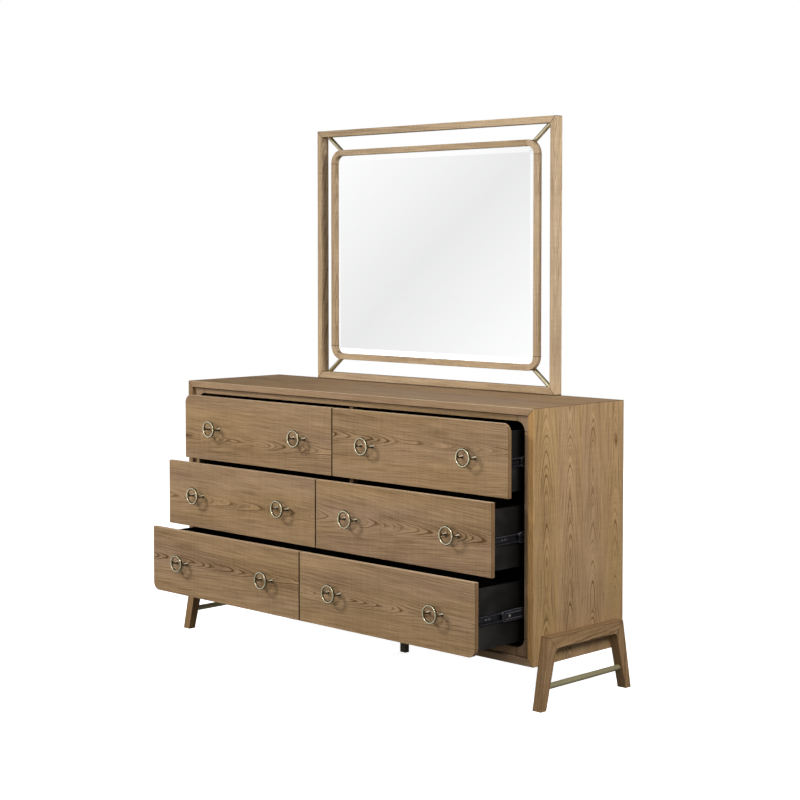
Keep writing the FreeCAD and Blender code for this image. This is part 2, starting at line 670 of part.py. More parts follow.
os.makedirs("parts", exist_ok=True)
case_panels()
case_inside()
face_frame()
leg_frames()
centre_support_leg()
mirror_frame()
inner_mirror()
back_plates()
cabinet_slides()
drawers()
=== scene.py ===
# %% [markdown]
# # A dresser with a mirror, dressed for its portrait
#
# The frame holds every board, rod and slide at its real size. This lesson gives each of them its finish,
# models the cast ring pulls and the small pressed parts of the slides, and sets up a plain studio. All
# lengths are in metres.

# %% Load the frame
import math

import bpy
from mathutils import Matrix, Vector


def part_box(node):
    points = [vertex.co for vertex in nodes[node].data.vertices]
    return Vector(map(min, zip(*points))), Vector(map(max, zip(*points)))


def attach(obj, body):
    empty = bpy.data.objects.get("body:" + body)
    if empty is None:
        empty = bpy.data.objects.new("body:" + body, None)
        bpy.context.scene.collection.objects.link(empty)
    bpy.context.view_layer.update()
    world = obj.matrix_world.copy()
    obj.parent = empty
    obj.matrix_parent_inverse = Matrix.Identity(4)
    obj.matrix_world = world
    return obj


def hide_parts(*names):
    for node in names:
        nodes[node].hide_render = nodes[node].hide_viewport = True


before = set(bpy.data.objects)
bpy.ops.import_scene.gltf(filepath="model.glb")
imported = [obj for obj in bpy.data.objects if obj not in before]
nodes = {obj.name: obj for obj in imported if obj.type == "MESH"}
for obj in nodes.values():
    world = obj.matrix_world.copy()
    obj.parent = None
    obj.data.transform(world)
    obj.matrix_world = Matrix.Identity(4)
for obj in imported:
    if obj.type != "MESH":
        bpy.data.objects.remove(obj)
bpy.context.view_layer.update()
ROWS = ("top", "middle", "bottom")
SIDES = ("left", "right")
DRAWERS = [(row, side) for row in ROWS for side in SIDES]

# %% [markdown]
# ## Helpers for node trees
#
# A procedural finish is a small formula. Wiring each Math node by hand hides that formula, so `calc` adds
# one Math node and gives back its output, and the formulas below can be read from left to right. `plug`
# accepts either a number or another node's output.

# %% Wiring nodes
def ready(*helpers):
    """Say which helpers a cell has made."""
    print("ready:", ", ".join(helper.__name__ for helper in helpers))


def plug(tree, socket, value):
    if isinstance(value, bpy.types.NodeSocket):
        tree.links.new(value, socket)
    else:
        socket.default_value = value


def calc(tree, operation, *values):
    node = tree.nodes.new("ShaderNodeMath")
    node.operation = operation
    for socket, value in zip(node.inputs, values):
        plug(tree, socket, value)
    return node.outputs[0]


def joined(tree, *parts):
    node = tree.nodes.new("ShaderNodeCombineXYZ")
    for socket, part in zip(node.inputs, parts):
        plug(tree, socket, part)
    return node.outputs[0]


def split(tree, vector):
    node = tree.nodes.new("ShaderNodeSeparateXYZ")
    plug(tree, node.inputs[0], vector)
    return dict(zip("XYZ", node.outputs))


ready(plug, calc, joined, split)

# %% Noises, ranges and colours
def noise(tree, place, waves, seed, detail=2.0, roughness=0.5):
    """A noise with its own count of waves to the metre on each axis, to draw it out along the grain."""
    stretched = tree.nodes.new("ShaderNodeVectorMath")
    stretched.operation = "MULTIPLY"
    plug(tree, stretched.inputs[0], place)
    plug(tree, stretched.inputs[1], waves)
    node = tree.nodes.new("ShaderNodeTexNoise")
    node.noise_dimensions = "4D"
    plug(tree, node.inputs["Vector"], stretched.outputs[0])
    plug(tree, node.inputs["W"], seed)
    plug(tree, node.inputs["Scale"], 1.0)
    plug(tree, node.inputs["Detail"], detail)
    plug(tree, node.inputs["Roughness"], roughness)
    return node.outputs[0]


def swing(tree, value, width):
    """A noise moved so that it swings about zero, over the given width."""
    return calc(tree, "MULTIPLY", calc(tree, "SUBTRACT", value, 0.5), width)


def spread(tree, value, low, high, new_low=0.0, new_high=1.0):
    """Map low..high to new_low..new_high, held at the ends."""
    node = tree.nodes.new("ShaderNodeMapRange")
    for socket, number in zip(node.inputs, (value, low, high, new_low, new_high)):
        plug(tree, socket, number)
    return node.outputs[0]


def mix_colours(tree, share, first, second, blend="MIX"):
    node = tree.nodes.new("ShaderNodeMix")
    node.data_type = "RGBA"
    node.blend_type = blend
    plug(tree, node.inputs[0], share)
    plug(tree, node.inputs[6], first)
    plug(tree, node.inputs[7], second)
    return node.outputs[2]


ready(noise, swing, spread, mix_colours)

# %% [markdown]
# ## Ash, from the trunk outwards
#
# Ash is ring-porous: each year's growth starts with a dark row of open pores. A trunk is a stack of thin
# cones, and a board cut beside the heart shows those cones as nested arches, the cathedral figure of the
# drawer fronts. A flat wood texture can't give arches that belong together, so the figure is computed as
# it grows: the distance from the heart line, plus a little taper along the grain, divided by the width of
# a year. The heart can lie anywhere in or behind a board, which is all that tells a straight-grained
# stile from a lively front. Veneer is laid in leaves, and the leaf inputs repeat the figure side by side,
# as on the case's ends.

# %% Inputs of the ash figure
ash = bpy.data.node_groups.new("ash_figure", "ShaderNodeTree")
ASH_NUMBERS = {
    "Along": 0.0, "Across": 0.0, "Depth": 0.0, "Leaf start": -5.0, "Leaf width": 10.0,
    "Heart across": 0.0, "Heart depth": 0.1, "Taper": 0.04, "Year": 0.0024, "Wander": 0.02,
    "Swell": 0.012, "Flame": 0.0, "Focus": 0.0, "Streak": 1.0, "Seed": 0.0, "Line strength": 0.75}
ASH_COLOURS = ("Late wood", "Gold wood", "Early wood", "Pore")
for label, default in ASH_NUMBERS.items():
    ash.interface.new_socket(label, in_out="INPUT", socket_type="NodeSocketFloat").default_value = default
for label in ASH_COLOURS:
    ash.interface.new_socket(label, in_out="INPUT", socket_type="NodeSocketColor")
ash.interface.new_socket("Colour", in_out="OUTPUT", socket_type="NodeSocketColor")
for label in ("Roughness", "Height"):
    ash.interface.new_socket(label, in_out="OUTPUT", socket_type="NodeSocketFloat")
given = ash.nodes.new("NodeGroupInput").outputs
taken = ash.nodes.new("NodeGroupOutput").inputs
print("ash figure takes", len(given) - 1, "inputs")

# %% Leaves of veneer
leaf = calc(ash, "FLOOR", calc(
    ash, "DIVIDE", calc(ash, "SUBTRACT", given["Across"], given["Leaf start"]), given["Leaf width"]))
leaf_middle = calc(ash, "ADD", given["Leaf start"], calc(
    ash, "MULTIPLY", calc(ash, "ADD", leaf, 0.5), given["Leaf width"]))
across = calc(ash, "SUBTRACT", given["Across"], leaf_middle)
LEAF_SHIFT = 0.23
LEAF_SEED = 1.7
along = calc(ash, "MULTIPLY_ADD", leaf, LEAF_SHIFT, given["Along"])
seed = calc(ash, "MULTIPLY_ADD", leaf, LEAF_SEED, given["Seed"])
depth = given["Depth"]
place = joined(ash, along, across, depth)
print("each leaf is moved on by", LEAF_SHIFT, "m along the grain")

# %% Years of growth
FLAME_REACH = 0.03
SWAY_WAVES = (3.0, 9.0, 9.0)
RIPPLE_WAVES = (16.0, 50.0, 50.0)
SWELL_WAVES = (2.2, 0.0, 0.0)
FLAME_WAVES = (4.2, 3.0, 3.0)
sway = swing(ash, noise(ash, place, SWAY_WAVES, seed, 3.0), given["Wander"])
ripple = noise(ash, place, RIPPLE_WAVES, seed, 3.0, 0.6)
ripple = swing(ash, ripple, calc(ash, "MULTIPLY", given["Year"], 1.3))
swell = swing(ash, noise(ash, place, SWELL_WAVES, seed, 1.0), given["Swell"])
off_heart = calc(ash, "ADD", calc(ash, "SUBTRACT", across, given["Heart across"]), sway)
nearness = calc(ash, "DIVIDE", off_heart, FLAME_REACH)
nearness = calc(ash, "DIVIDE", 1.0, calc(ash, "MULTIPLY_ADD", nearness, nearness, 1.0))
flame = noise(ash, place, FLAME_WAVES, seed, 2.0)
flame = swing(ash, flame, calc(ash, "MULTIPLY", given["Flame"], nearness))
behind = calc(ash, "SUBTRACT", depth, given["Heart depth"])
radius = calc(ash, "SQRT", calc(
    ash, "ADD", calc(ash, "MULTIPLY", off_heart, off_heart), calc(ash, "MULTIPLY", behind, behind)))
cone = calc(ash, "MULTIPLY_ADD", along, given["Taper"], calc(ash, "ADD", ripple, swell))
radius = calc(ash, "ADD", calc(ash, "ADD", radius, cone), flame)
years = calc(ash, "DIVIDE", radius, given["Year"])
print("a plain board's years are", ASH_NUMBERS["Year"] * 1000, "mm wide")

# %% Spring rows
SPRING = ((0.0, 0.4), (0.04, 1.0), (0.16, 0.7), (0.42, 0.12), (0.94, 0.0), (1.0, 0.4))
FADING_WAVES = (5.0, 34.0, 34.0)
spring_row = ash.nodes.new("ShaderNodeValToRGB")
for stop, level in SPRING:
    mark = spring_row.color_ramp.elements.new(stop)
    mark.color = (level, level, level, 1.0)
spring_row.color_ramp.elements.remove(spring_row.color_ramp.elements[0])
spring_row.color_ramp.elements.remove(spring_row.color_ramp.elements[-1])
plug(ash, spring_row.inputs[0], calc(ash, "FRACT", years))
vigour = ash.nodes.new("ShaderNodeTexWhiteNoise")
vigour.noise_dimensions = "1D"
plug(ash, vigour.inputs["W"], calc(ash, "FLOOR", years))
fading = noise(ash, place, FADING_WAVES, seed, 2.0)
strength = spread(ash, vigour.outputs[0], 0.0, 1.0, 0.2, 1.0)
strength = calc(ash, "MULTIPLY", strength, spread(ash, fading, 0.3, 0.65, 0.3, 1.1))
focus = calc(ash, "MULTIPLY_ADD", calc(ash, "SUBTRACT", nearness, 0.45), given["Focus"], 1.0)
early = calc(ash, "MULTIPLY", spring_row.outputs[0], calc(ash, "MULTIPLY", strength, focus))
print("a year's ramp has", len(spring_row.color_ramp.elements), "stops")

# %% Pores, tone and the group's outputs
PORE_WAVES = (60.0, 1500.0, 0.0)
PORE_SHARE = 0.55
TONE_WAVES = (1.3, 16.0, 16.0)
FLECK_WAVES = (8.0, 300.0, 0.0)
SILK_WAVES = (130.0, 8.0, 8.0)
THREAD_WAVES = (7.0, 150.0, 150.0)
TINT_WAVES = (0.8, 7.0, 7.0)
year_place = joined(ash, along, radius, depth)
pores = spread(ash, noise(ash, year_place, PORE_WAVES, seed, 1.0), 0.52, 0.68)
pores = calc(ash, "MULTIPLY", pores, calc(ash, "MULTIPLY_ADD", early, 0.75, 0.25))
tone = noise(ash, place, TONE_WAVES, seed, 2.0)
fleck = noise(ash, year_place, FLECK_WAVES, seed, 2.0)
silk = noise(ash, place, SILK_WAVES, seed, 1.0)
thread = noise(ash, place, THREAD_WAVES, calc(ash, "ADD", seed, 20.0), 3.0, 0.6)
brown = spread(ash, tone, 0.25, 0.75, -0.1, 0.36)
brown = calc(ash, "ADD", brown, spread(ash, fleck, 0.33, 0.67, -0.11, 0.30))
brown = calc(ash, "ADD", brown, spread(ash, silk, 0.3, 0.7, -0.04, 0.06))
brown = calc(ash, "ADD", brown, spread(ash, thread, 0.3, 0.7, -0.1, 0.1))
brown = calc(ash, "MULTIPLY", brown, given["Streak"])
line = calc(ash, "MULTIPLY_ADD", early, given["Line strength"], brown)
tint = noise(ash, place, TINT_WAVES, calc(ash, "ADD", seed, 40.0), 2.0)
ground = mix_colours(ash, spread(ash, tint, 0.38, 0.62), given["Late wood"], given["Gold wood"])
wood = mix_colours(ash, spread(ash, line, 0.0, 1.0), ground, given["Early wood"])
wood = mix_colours(ash, calc(ash, "MULTIPLY", pores, PORE_SHARE), wood, given["Pore"])
satin = spread(ash, fleck, 0.2, 0.8, 0.5, 0.62)
plug(ash, taken["Colour"], wood)
plug(ash, taken["Roughness"], calc(ash, "MULTIPLY_ADD", pores, 0.25, satin))
plug(ash, taken["Height"], calc(ash, "MULTIPLY_ADD", early, -0.35, calc(ash, "MULTIPLY", pores, -1.0)))
print("ash figure has", len(ash.nodes), "nodes")

# %% [markdown]
# ## Cutting boards
#
# A board only has to say which way its grain runs. `ash_board` takes three axis letters, for along,
# across and into the board, and hands the matching Object coordinates to the figure. Glue lines are drawn
# where two boards meet: a mitre is a straight line on the face, so a board is darkened within about a
# millimetre of that line, and the same lines draw painted shade where one part meets or stands behind
# another. Both halves of the dresser are alike, so the line is folded about the middle and written once.
# End grain drinks more stain than the face does, so it is darker, and on the ends of the drawer fronts this
# darkening is also painted shade. A pale painted highlight runs along some top edges. A veneered board's
# edge is closed with a solid strip, the lipping, whose lines run along the edge and whose tint is partly
# its own and partly painted light.

# %% Stain, glue lines and painted light
STAIN = {
    "Late wood": (0.442, 0.293, 0.180, 1.0),
    "Gold wood": (0.462, 0.303, 0.155, 1.0),
    "Early wood": (0.125, 0.068, 0.027, 1.0),
    "Pore": (0.08, 0.045, 0.02, 1.0)}
EDGE_HIGHLIGHT = (0.60, 0.45, 0.30, 1.0)
JOINT_AND_SHADE_BROWN = (0.045, 0.026, 0.014, 1.0)
LINE_HALF_WIDTH = 0.0007
LINE_SHARE = 0.8
EDGE_HIGHLIGHT_SHARE = 0.6
CONTACT_SHADE_DROP = 0.0008


def glue_and_shade_line(tree, u, v, start, end, half_width):
    """1 on the line through two points of the u, v plane, 0 elsewhere."""
    way = (Vector(end) - Vector(start)).normalized()
    level = start[0] * -way[1] + start[1] * way[0]
    offset = calc(tree, "ADD", calc(tree, "MULTIPLY", u, -way[1]), calc(tree, "MULTIPLY", v, way[0]))
    off_line = calc(tree, "ABSOLUTE", calc(tree, "SUBTRACT", offset, level))
    return calc(tree, "LESS_THAN", off_line, half_width)


def level_line(z):
    """A dark line across the front, at one height: a glue line, and in some uses a line of painted shade.
    """
    return ("X", 0.0, "Z", (0.0, z), (1.0, z))


def upright_line(x):
    """A dark line up the front, on both sides of the middle: a glue line, and in some uses painted shade.
    """
    return ("X", 0.0, "Z", (x, 0.0), (x, 1.0))


def frame_mitres(node, member_x, member_top, member_bottom):
    """The mitre lines of a square frame around the given node, seen from the front."""
    low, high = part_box(node)
    return (
        ("X", 0.0, "Z", (high.x, high.z), (high.x - member_x, high.z - member_top)),
        ("X", 0.0, "Z", (high.x, low.z), (high.x - member_x, low.z + member_bottom)))


print("stain is about", [round(channel, 2) for channel in STAIN["Late wood"][:3]])

# %% Finishes and faces
def new_finish(name):
    """A new material, with its tree, its shader and the Object coordinates."""
    material = bpy.data.materials.new(name)
    material.use_nodes = True
    tree = material.node_tree
    place = tree.nodes.new("ShaderNodeTexCoord").outputs["Object"]
    return material, tree, tree.nodes["Principled BSDF"], place


def add_bump(tree, shader, height, depth, strength):
    bump = tree.nodes.new("ShaderNodeBump")
    bump.inputs["Distance"].default_value = depth
    bump.inputs["Strength"].default_value = strength
    plug(tree, bump.inputs["Height"], height)
    plug(tree, shader.inputs["Normal"], bump.outputs[0])


def facing(tree):
    """The three parts of the direction that a face looks in."""
    return split(tree, tree.nodes.new("ShaderNodeNewGeometry").outputs["Normal"])


def end_grain_and_shade(tree, letter):
    """The share of dark stain on a face, most where it looks along the grain; on the drawer fronts' ends it
    is also painted shade.
    """
    return spread(tree, calc(tree, "ABSOLUTE", facing(tree)[letter]), 0.6, 0.8, 0.0, 0.62)


def leaned(tree, place, lean):
    """The coordinates of a board that leans to the front or the back."""
    turn = tree.nodes.new("ShaderNodeMapping")
    turn.inputs["Rotation"].default_value = (lean, 0.0, 0.0)
    plug(tree, turn.inputs["Vector"], place)
    return split(tree, turn.outputs[0])


ready(new_finish, add_bump, facing, end_grain_and_shade, leaned)

# %% Boards
PORE_DEPTH = 0.0004
WAX_SHINE = 0.14


def ash_board(
        name, grain, heart, dark_lines=(), lean=0.0, stain=STAIN, line_half=LINE_HALF_WIDTH, highlight_above=None,
        highlight_face=None, lipping=None, lipping_tint_and_light=(1.0, 1.0, 1.0), **figure):
    """One board's finish: grain names the along, across and depth axes, heart lies on the last two.

    lipping, where given, is how far the figure is shifted on the strip that closes the edge.
    """
    material, tree, shader, place = new_finish(name)
    straight = split(tree, place)
    axes = leaned(tree, place, lean) if lean else straight
    wood = tree.nodes.new("ShaderNodeGroup")
    wood.node_tree = ash
    for label, letter in zip(("Along", "Across", "Depth"), grain):
        plug(tree, wood.inputs[label], axes[letter])
    if lipping:
        edge = calc(tree, "GREATER_THAN", calc(tree, "ABSOLUTE", facing(tree)[grain[1]]), 0.7)
        strip = calc(tree, "SUBTRACT", calc(tree, "ADD", axes[grain[2]], lipping), axes[grain[1]])
        plug(tree, wood.inputs["Across"], calc(tree, "MULTIPLY_ADD", strip, edge, axes[grain[1]]))
    settings = {"Heart across": heart[0], "Heart depth": heart[1], **stain, **figure}
    for label, value in settings.items():
        plug(tree, wood.inputs[label.replace("_", " ").capitalize()], value)
    colour = mix_colours(tree, end_grain_and_shade(tree, grain[0]), wood.outputs["Colour"], stain["Early wood"])
    # Lipping tint: partly the strip's own colour, partly painted light and shade set per board.
    if lipping:
        colour = mix_colours(tree, edge, colour, (*lipping_tint_and_light, 1.0), "MULTIPLY")
    # Painted highlight: a pale band along the top edge, limited to faces that look along highlight_face
    # where given.
    if highlight_above is not None:
        wear_and_highlight = calc(tree, "MULTIPLY", calc(tree, "GREATER_THAN", straight["Z"], highlight_above), EDGE_HIGHLIGHT_SHARE)
        if highlight_face:
            edge_facing = calc(tree, "ABSOLUTE", facing(tree)[highlight_face])
            wear_and_highlight = calc(tree, "MULTIPLY", wear_and_highlight, spread(tree, edge_facing, 0.2, 0.5))
        colour = mix_colours(tree, wear_and_highlight, colour, EDGE_HIGHLIGHT)
    # Glue lines, and lines of painted shade where one part meets or stands behind another.
    for fold, middle, other, start, end in dark_lines:
        u = calc(tree, "ABSOLUTE", calc(tree, "SUBTRACT", straight[fold], middle))
        on_dark_line = glue_and_shade_line(tree, u, straight[other], start, end, line_half)
        colour = mix_colours(tree, calc(tree, "MULTIPLY", on_dark_line, LINE_SHARE), colour, JOINT_AND_SHADE_BROWN)
    plug(tree, shader.inputs["Base Color"], colour)
    plug(tree, shader.inputs["Roughness"], wood.outputs["Roughness"])
    add_bump(tree, shader, wood.outputs["Height"], PORE_DEPTH, 0.35)
    shader.inputs["Specular IOR Level"].default_value = WAX_SHINE
    return material


def finish(material, *names):
    for name in names:
        nodes[name].data.materials.clear()
        nodes[name].data.materials.append(material)


ready(ash_board, finish)

# %% [markdown]
# ## The case
#
# The top and bottom run across and the two ends run upright. The photograph shows four narrow leaves side
# by side on the end, each with its own small arches, so the ends get leaves about a hand wide with the
# heart close under the surface. The four boards meet in mitres at the front. The top is given a darker
# stain than the ends, painted shade for the little light that falls on it from above, and its front edge
# is painted paler again.

# %% Case boards
PANEL = 0.022
case_low, case_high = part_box("right_side_panel")
case_mitres = frame_mitres("right_side_panel", PANEL, PANEL, PANEL)
END_LEAF = 0.11
END_LEAF_START = case_low.y + 0.005
end_figure = {
    "leaf_start": END_LEAF_START, "leaf_width": END_LEAF, "taper": 0.08, "year": 0.0046, "wander": 0.016,
    "flame": 0.05, "focus": 0.6, "streak": 0.85, "line_strength": 0.9,
    "stain": {**STAIN, "Late wood": (0.440, 0.289, 0.160, 1.0), "Gold wood": (0.462, 0.299, 0.132, 1.0)}}
TOP_HIGHLIGHT_EDGE = 0.0018
LIPPING_SHIFT = 0.35
END_SHIFT = 0.335
# Painted shade on the top: a darker stain, with its front edge painted paler again.
TOP_EDGE_LIGHT = (1.22, 1.22, 1.22)
# Painted shade on the left end's lipping, which the key light strikes, and painted light on the right's,
# which lies in the drawers' shadow.
LEFT_LIPPING_SHADE = (0.80, 0.76, 0.80)
RIGHT_LIPPING_LIGHT = (1.40, 1.24, 0.90)
TOP_SHADE_STAIN = {**STAIN, "Late wood": (0.352, 0.233, 0.142, 1.0), "Gold wood": (0.367, 0.241, 0.122, 1.0)}
top_ash = ash_board(
    "ash_top", "XYZ", (0.02, case_high.z - 0.06), case_mitres[:1], stain=TOP_SHADE_STAIN, seed=2.0,
    highlight_above=case_high.z - TOP_HIGHLIGHT_EDGE, highlight_face="Y", lipping=LIPPING_SHIFT, lipping_tint_and_light=TOP_EDGE_LIGHT)
bottom_ash = ash_board(
    "ash_bottom", "XYZ", (-0.1, case_low.z - 0.05), case_mitres[1:], lipping=LIPPING_SHIFT, seed=3.0)
finish(top_ash, "top_panel")
finish(bottom_ash, "bottom_panel")
for sign, side, lipping_tint_and_light in ((-1, "left", LEFT_LIPPING_SHADE), (1, "right", RIGHT_LIPPING_LIGHT)):
    heart = (0.0, sign * (case_high.x - 0.02))
    finish(ash_board(
        f"ash_{side}_end", "ZYX", heart, case_mitres, lipping=sign * END_SHIFT, lipping_tint_and_light=lipping_tint_and_light,
        seed=5.0 + sign, **end_figure), f"{side}_side_panel")
print("case end is", [round(size, 3) for size in case_high - case_low])

# %% [markdown]
# ## The drawer fronts
#
# All six fronts are flat-sawn, with the grain running across, and no two are alike. Each gets its own
# heart height, taper and seed. The heart lies close behind the face, which keeps the arches to a narrow
# band, and a slow noise near it, the flame, lets their tips run out unevenly. The face veneer ends in a
# thin dark line on the edges. The ends beside the middle gap are darkened as painted shade, and a pale
# painted highlight runs along the top edge.

# %% Drawer fronts
FRONT_FLAME = {"flame": 0.015, "focus": 0.35, "year": 0.0022}
VENEER = 0.0014
CENTRE_GAP = 0.002
FRONT_HIGHLIGHT_EDGE = 0.0012
# The heart's height above the middle and depth behind the front, then taper, seed and line strength.
FRONT_FIGURES = {
    ("top", "left"): (-0.034, 0.016, 0.034, 11.0, 1.05),
    ("top", "right"): (0.025, 0.012, 0.04, 12.0, 1.1),
    ("middle", "left"): (-0.01, 0.03, 0.03, 13.0, 0.75),
    ("middle", "right"): (-0.002, 0.022, 0.06, 14.0, 1.35),
    ("bottom", "left"): (0.007, 0.014, 0.034, 15.0, 1.35),
    ("bottom", "right"): (-0.014, 0.008, 0.034, 16.0, 1.15)}
for (row, side), (lift, heart_behind, taper, front_seed, line_strength) in FRONT_FIGURES.items():
    node = f"{row}_{side}_drawer_front"
    low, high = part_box(node)
    heart = ((low.z + high.z) / 2 + lift, high.y + heart_behind)
    veneer_y = low.y + VENEER
    # The line at the middle gap is painted shade on the ends there.
    veneer_glue_and_gap_shade = (("X", 0.0, "Y", (0.0, veneer_y), (1.0, veneer_y)), upright_line(CENTRE_GAP))
    finish(ash_board(
        f"ash_{row}_{side}_front", "XZY", heart, veneer_glue_and_gap_shade, highlight_above=high.z - FRONT_HIGHLIGHT_EDGE, taper=taper,
        seed=front_seed, line_strength=line_strength, **FRONT_FLAME), node)
print("a front is", [round(size, 3) for size in high - low])

# %% [markdown]
# ## Face frame, leg frames and mirror frames
#
# Narrow members are cut from straight wood: the heart lies a good way off, so only fine parallel lines
# cross them. The legs lean, and their grain leans with them, because each leg is a board turned to its
# own angle. The round corners are separate blocks, so a glue line shows where each block meets its
# neighbours, and a dark line of painted shade runs where a frame meets or stands back from the case.

# %% Face frame
# SHADE_LINE_INSET places lines of painted shade: under the top, above the bottom panel, beside the stiles
# and at the mirror's foot.
SHADE_LINE_INSET = 0.002
FRAME_LINE_HALF = 0.0011
face_low, face_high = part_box("face_frame_rails")
stile_low, stile_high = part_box("face_frame_stiles")
face_glue_and_shade = (
    upright_line(face_high.x), level_line(stile_low.z), level_line(stile_high.z),
    level_line(face_high.z - SHADE_LINE_INSET), level_line(face_low.z + SHADE_LINE_INSET / 2),
    upright_line(stile_high.x - SHADE_LINE_INSET))
for name, grain, heart, board_seed, members in (
        ("ash_face_rails", "XZY", (0.3, -0.1), 21.0, ("face_frame_rails",)),
        ("ash_face_stiles", "ZXY", (0.1, -0.1), 22.0, ("face_frame_stiles", "centre_stile")),
        ("ash_face_corners", "ZXY", (0.1, -0.12), 23.0, ("face_frame_corner_blocks",))):
    finish(ash_board(name, grain, heart, face_glue_and_shade, seed=board_seed, line_half=FRAME_LINE_HALF), *members)
print("face frame is", [round(size, 3) for size in face_high - face_low])

# %% Leg frames
leg_low, leg_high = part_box("leg_rails")
leg_middle = (leg_low.y + leg_high.y) / 2
leg_half = (leg_high.y - leg_low.y) / 2
foot_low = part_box("front_legs")[0]
LEG_TOP_WIDTH = 0.032
LEG_RAIL_HEIGHT = 0.036
lean = math.atan2(leg_low.y - foot_low.y, leg_high.z)
mitre_foot = (leg_half - LEG_TOP_WIDTH, leg_high.z - LEG_RAIL_HEIGHT)
# The second line is painted shade where the leg rail meets the case.
leg_glue_and_shade = (
    ("Y", leg_middle, "Z", (leg_half, leg_high.z), mitre_foot),
    ("Y", leg_middle, "Z", (0.0, leg_high.z - CONTACT_SHADE_DROP), (1.0, leg_high.z - CONTACT_SHADE_DROP)))
# Painted shade: the legs are given a darker stain than the case, for the shade they stand in.
LEG_SHADE_STAIN = {
    **STAIN, "Late wood": (0.365, 0.226, 0.117, 1.0), "Gold wood": (0.38, 0.235, 0.106, 1.0),
    "Early wood": (0.10, 0.054, 0.022, 1.0)}
leg_figure = {"stain": LEG_SHADE_STAIN, "year": 0.004, "line_strength": 0.7}
for name, grain, heart, tilt, board_seed in (
        ("front_legs", "ZYX", (0.2, 0.1), lean, 24.0), ("back_legs", "ZYX", (0.3, 0.1), -lean, 25.0),
        ("leg_rails", "YZX", (0.4, 0.1), 0.0, 26.0)):
    finish(ash_board("ash_" + name, grain, heart, leg_glue_and_shade, tilt, seed=board_seed, **leg_figure), name)
print("legs lean", round(math.degrees(lean), 1), "degrees")

# %% Mirror frames
MIRROR_MEMBER = 0.022
MIRROR_FOOT = 0.025
# Painted light: the mirror frames are given a paler, lighter stain than the case, for the brighter light on
# them.
MIRROR_LIGHT_STAIN = {
    **STAIN, "Late wood": (0.57, 0.425, 0.28, 1.0), "Gold wood": (0.60, 0.445, 0.265, 1.0),
    "Early wood": (0.20, 0.125, 0.065, 1.0)}
# The mirror's two foot lines are painted shade where it stands on the top.
mirror_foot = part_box("mirror_frame_stiles")[0].z + CONTACT_SHADE_DROP
foot_shade_line = mirror_foot + SHADE_LINE_INSET
mirror_glue_and_shade = (
    *frame_mitres("mirror_frame_stiles", MIRROR_MEMBER, MIRROR_MEMBER, MIRROR_FOOT),
    level_line(mirror_foot), level_line(foot_shade_line))
inner_low, inner_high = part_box("inner_frame_stiles")
inner_glue = (level_line(inner_low.z), level_line(inner_high.z))
for name, grain, dark_lines, board_seed in (
        ("mirror_frame_rails", "XZY", mirror_glue_and_shade, 31.0), ("mirror_frame_stiles", "ZXY", mirror_glue_and_shade, 32.0),
        ("inner_frame_rails", "XZY", inner_glue, 33.0), ("inner_frame_stiles", "ZXY", inner_glue, 34.0),
        ("inner_frame_corner_blocks", "ZXY", inner_glue, 35.0)):
    finish(ash_board(
        "ash_" + name, grain, (0.2, 0.3), dark_lines, stain=MIRROR_LIGHT_STAIN, line_half=FRAME_LINE_HALF, seed=board_seed,
        year=0.0035, line_strength=0.9), name)

# %% [markdown]
# ## The other finishes
#
# The rods and pulls are antique brass, pale and a little green, brushed and then waxed. Metal has no
# colour variation of its own under clean light, so its life comes from roughness: fine brushing, and
# tarnish in soft clouds. The corner rods carry painted shade on faces that look up or down. The stretcher
# rods are lacquered, which dulls them, and are painted darker underneath as shade. The drawer boxes are
# lined in black foil with a faint pressed grain, painted paler towards the front as light that reaches
# into the box. The slides are black electrocoated steel with their bends painted paler as a highlight,
# the fasteners are zinc plated, the hidden boards are hardboard and raw pine, and the centre leg is
# painted a very dark brown as shade.

# %% Brass and steel
def facing_up(tree):
    """0 on an upright face, 1 on one that looks straight up or down."""
    return calc(tree, "ABSOLUTE", facing(tree)["Z"])


def metal(name, colour, tarnish, roughness, level_face_shade=0.0, underside_shade=0.0, bare=1.0):
    """A brushed metal with clouds of tarnish, and painted shade on faces that look up or down
    (level_face_shade) and on faces that look down (underside_shade).
    """
    material, tree, shader, place = new_finish(name)
    cloud = noise(tree, place, (35.0, 35.0, 35.0), 1.0, 4.0, 0.6)
    brushing = noise(tree, place, (400.0, 400.0, 400.0), 2.0, 2.0)
    shade = spread(tree, cloud, 0.35, 0.75, 0.0, 0.7)
    shade = calc(tree, "MAXIMUM", shade, spread(tree, facing_up(tree), 0.45, 0.85, 0.0, level_face_shade))
    shade = calc(tree, "MAXIMUM", shade, spread(tree, facing(tree)["Z"], 0.35, -0.35, 0.0, underside_shade))
    plug(tree, shader.inputs["Base Color"], mix_colours(tree, shade, (*colour, 1.0), (*tarnish, 1.0)))
    wear_and_highlight = calc(tree, "MULTIPLY_ADD", cloud, 0.12, spread(tree, brushing, 0.3, 0.7, -0.05, 0.05))
    plug(tree, shader.inputs["Roughness"], calc(tree, "ADD", wear_and_highlight, roughness - 0.06))
    add_bump(tree, shader, brushing, 0.0001, 0.12)
    shader.inputs["Metallic"].default_value = bare
    return material


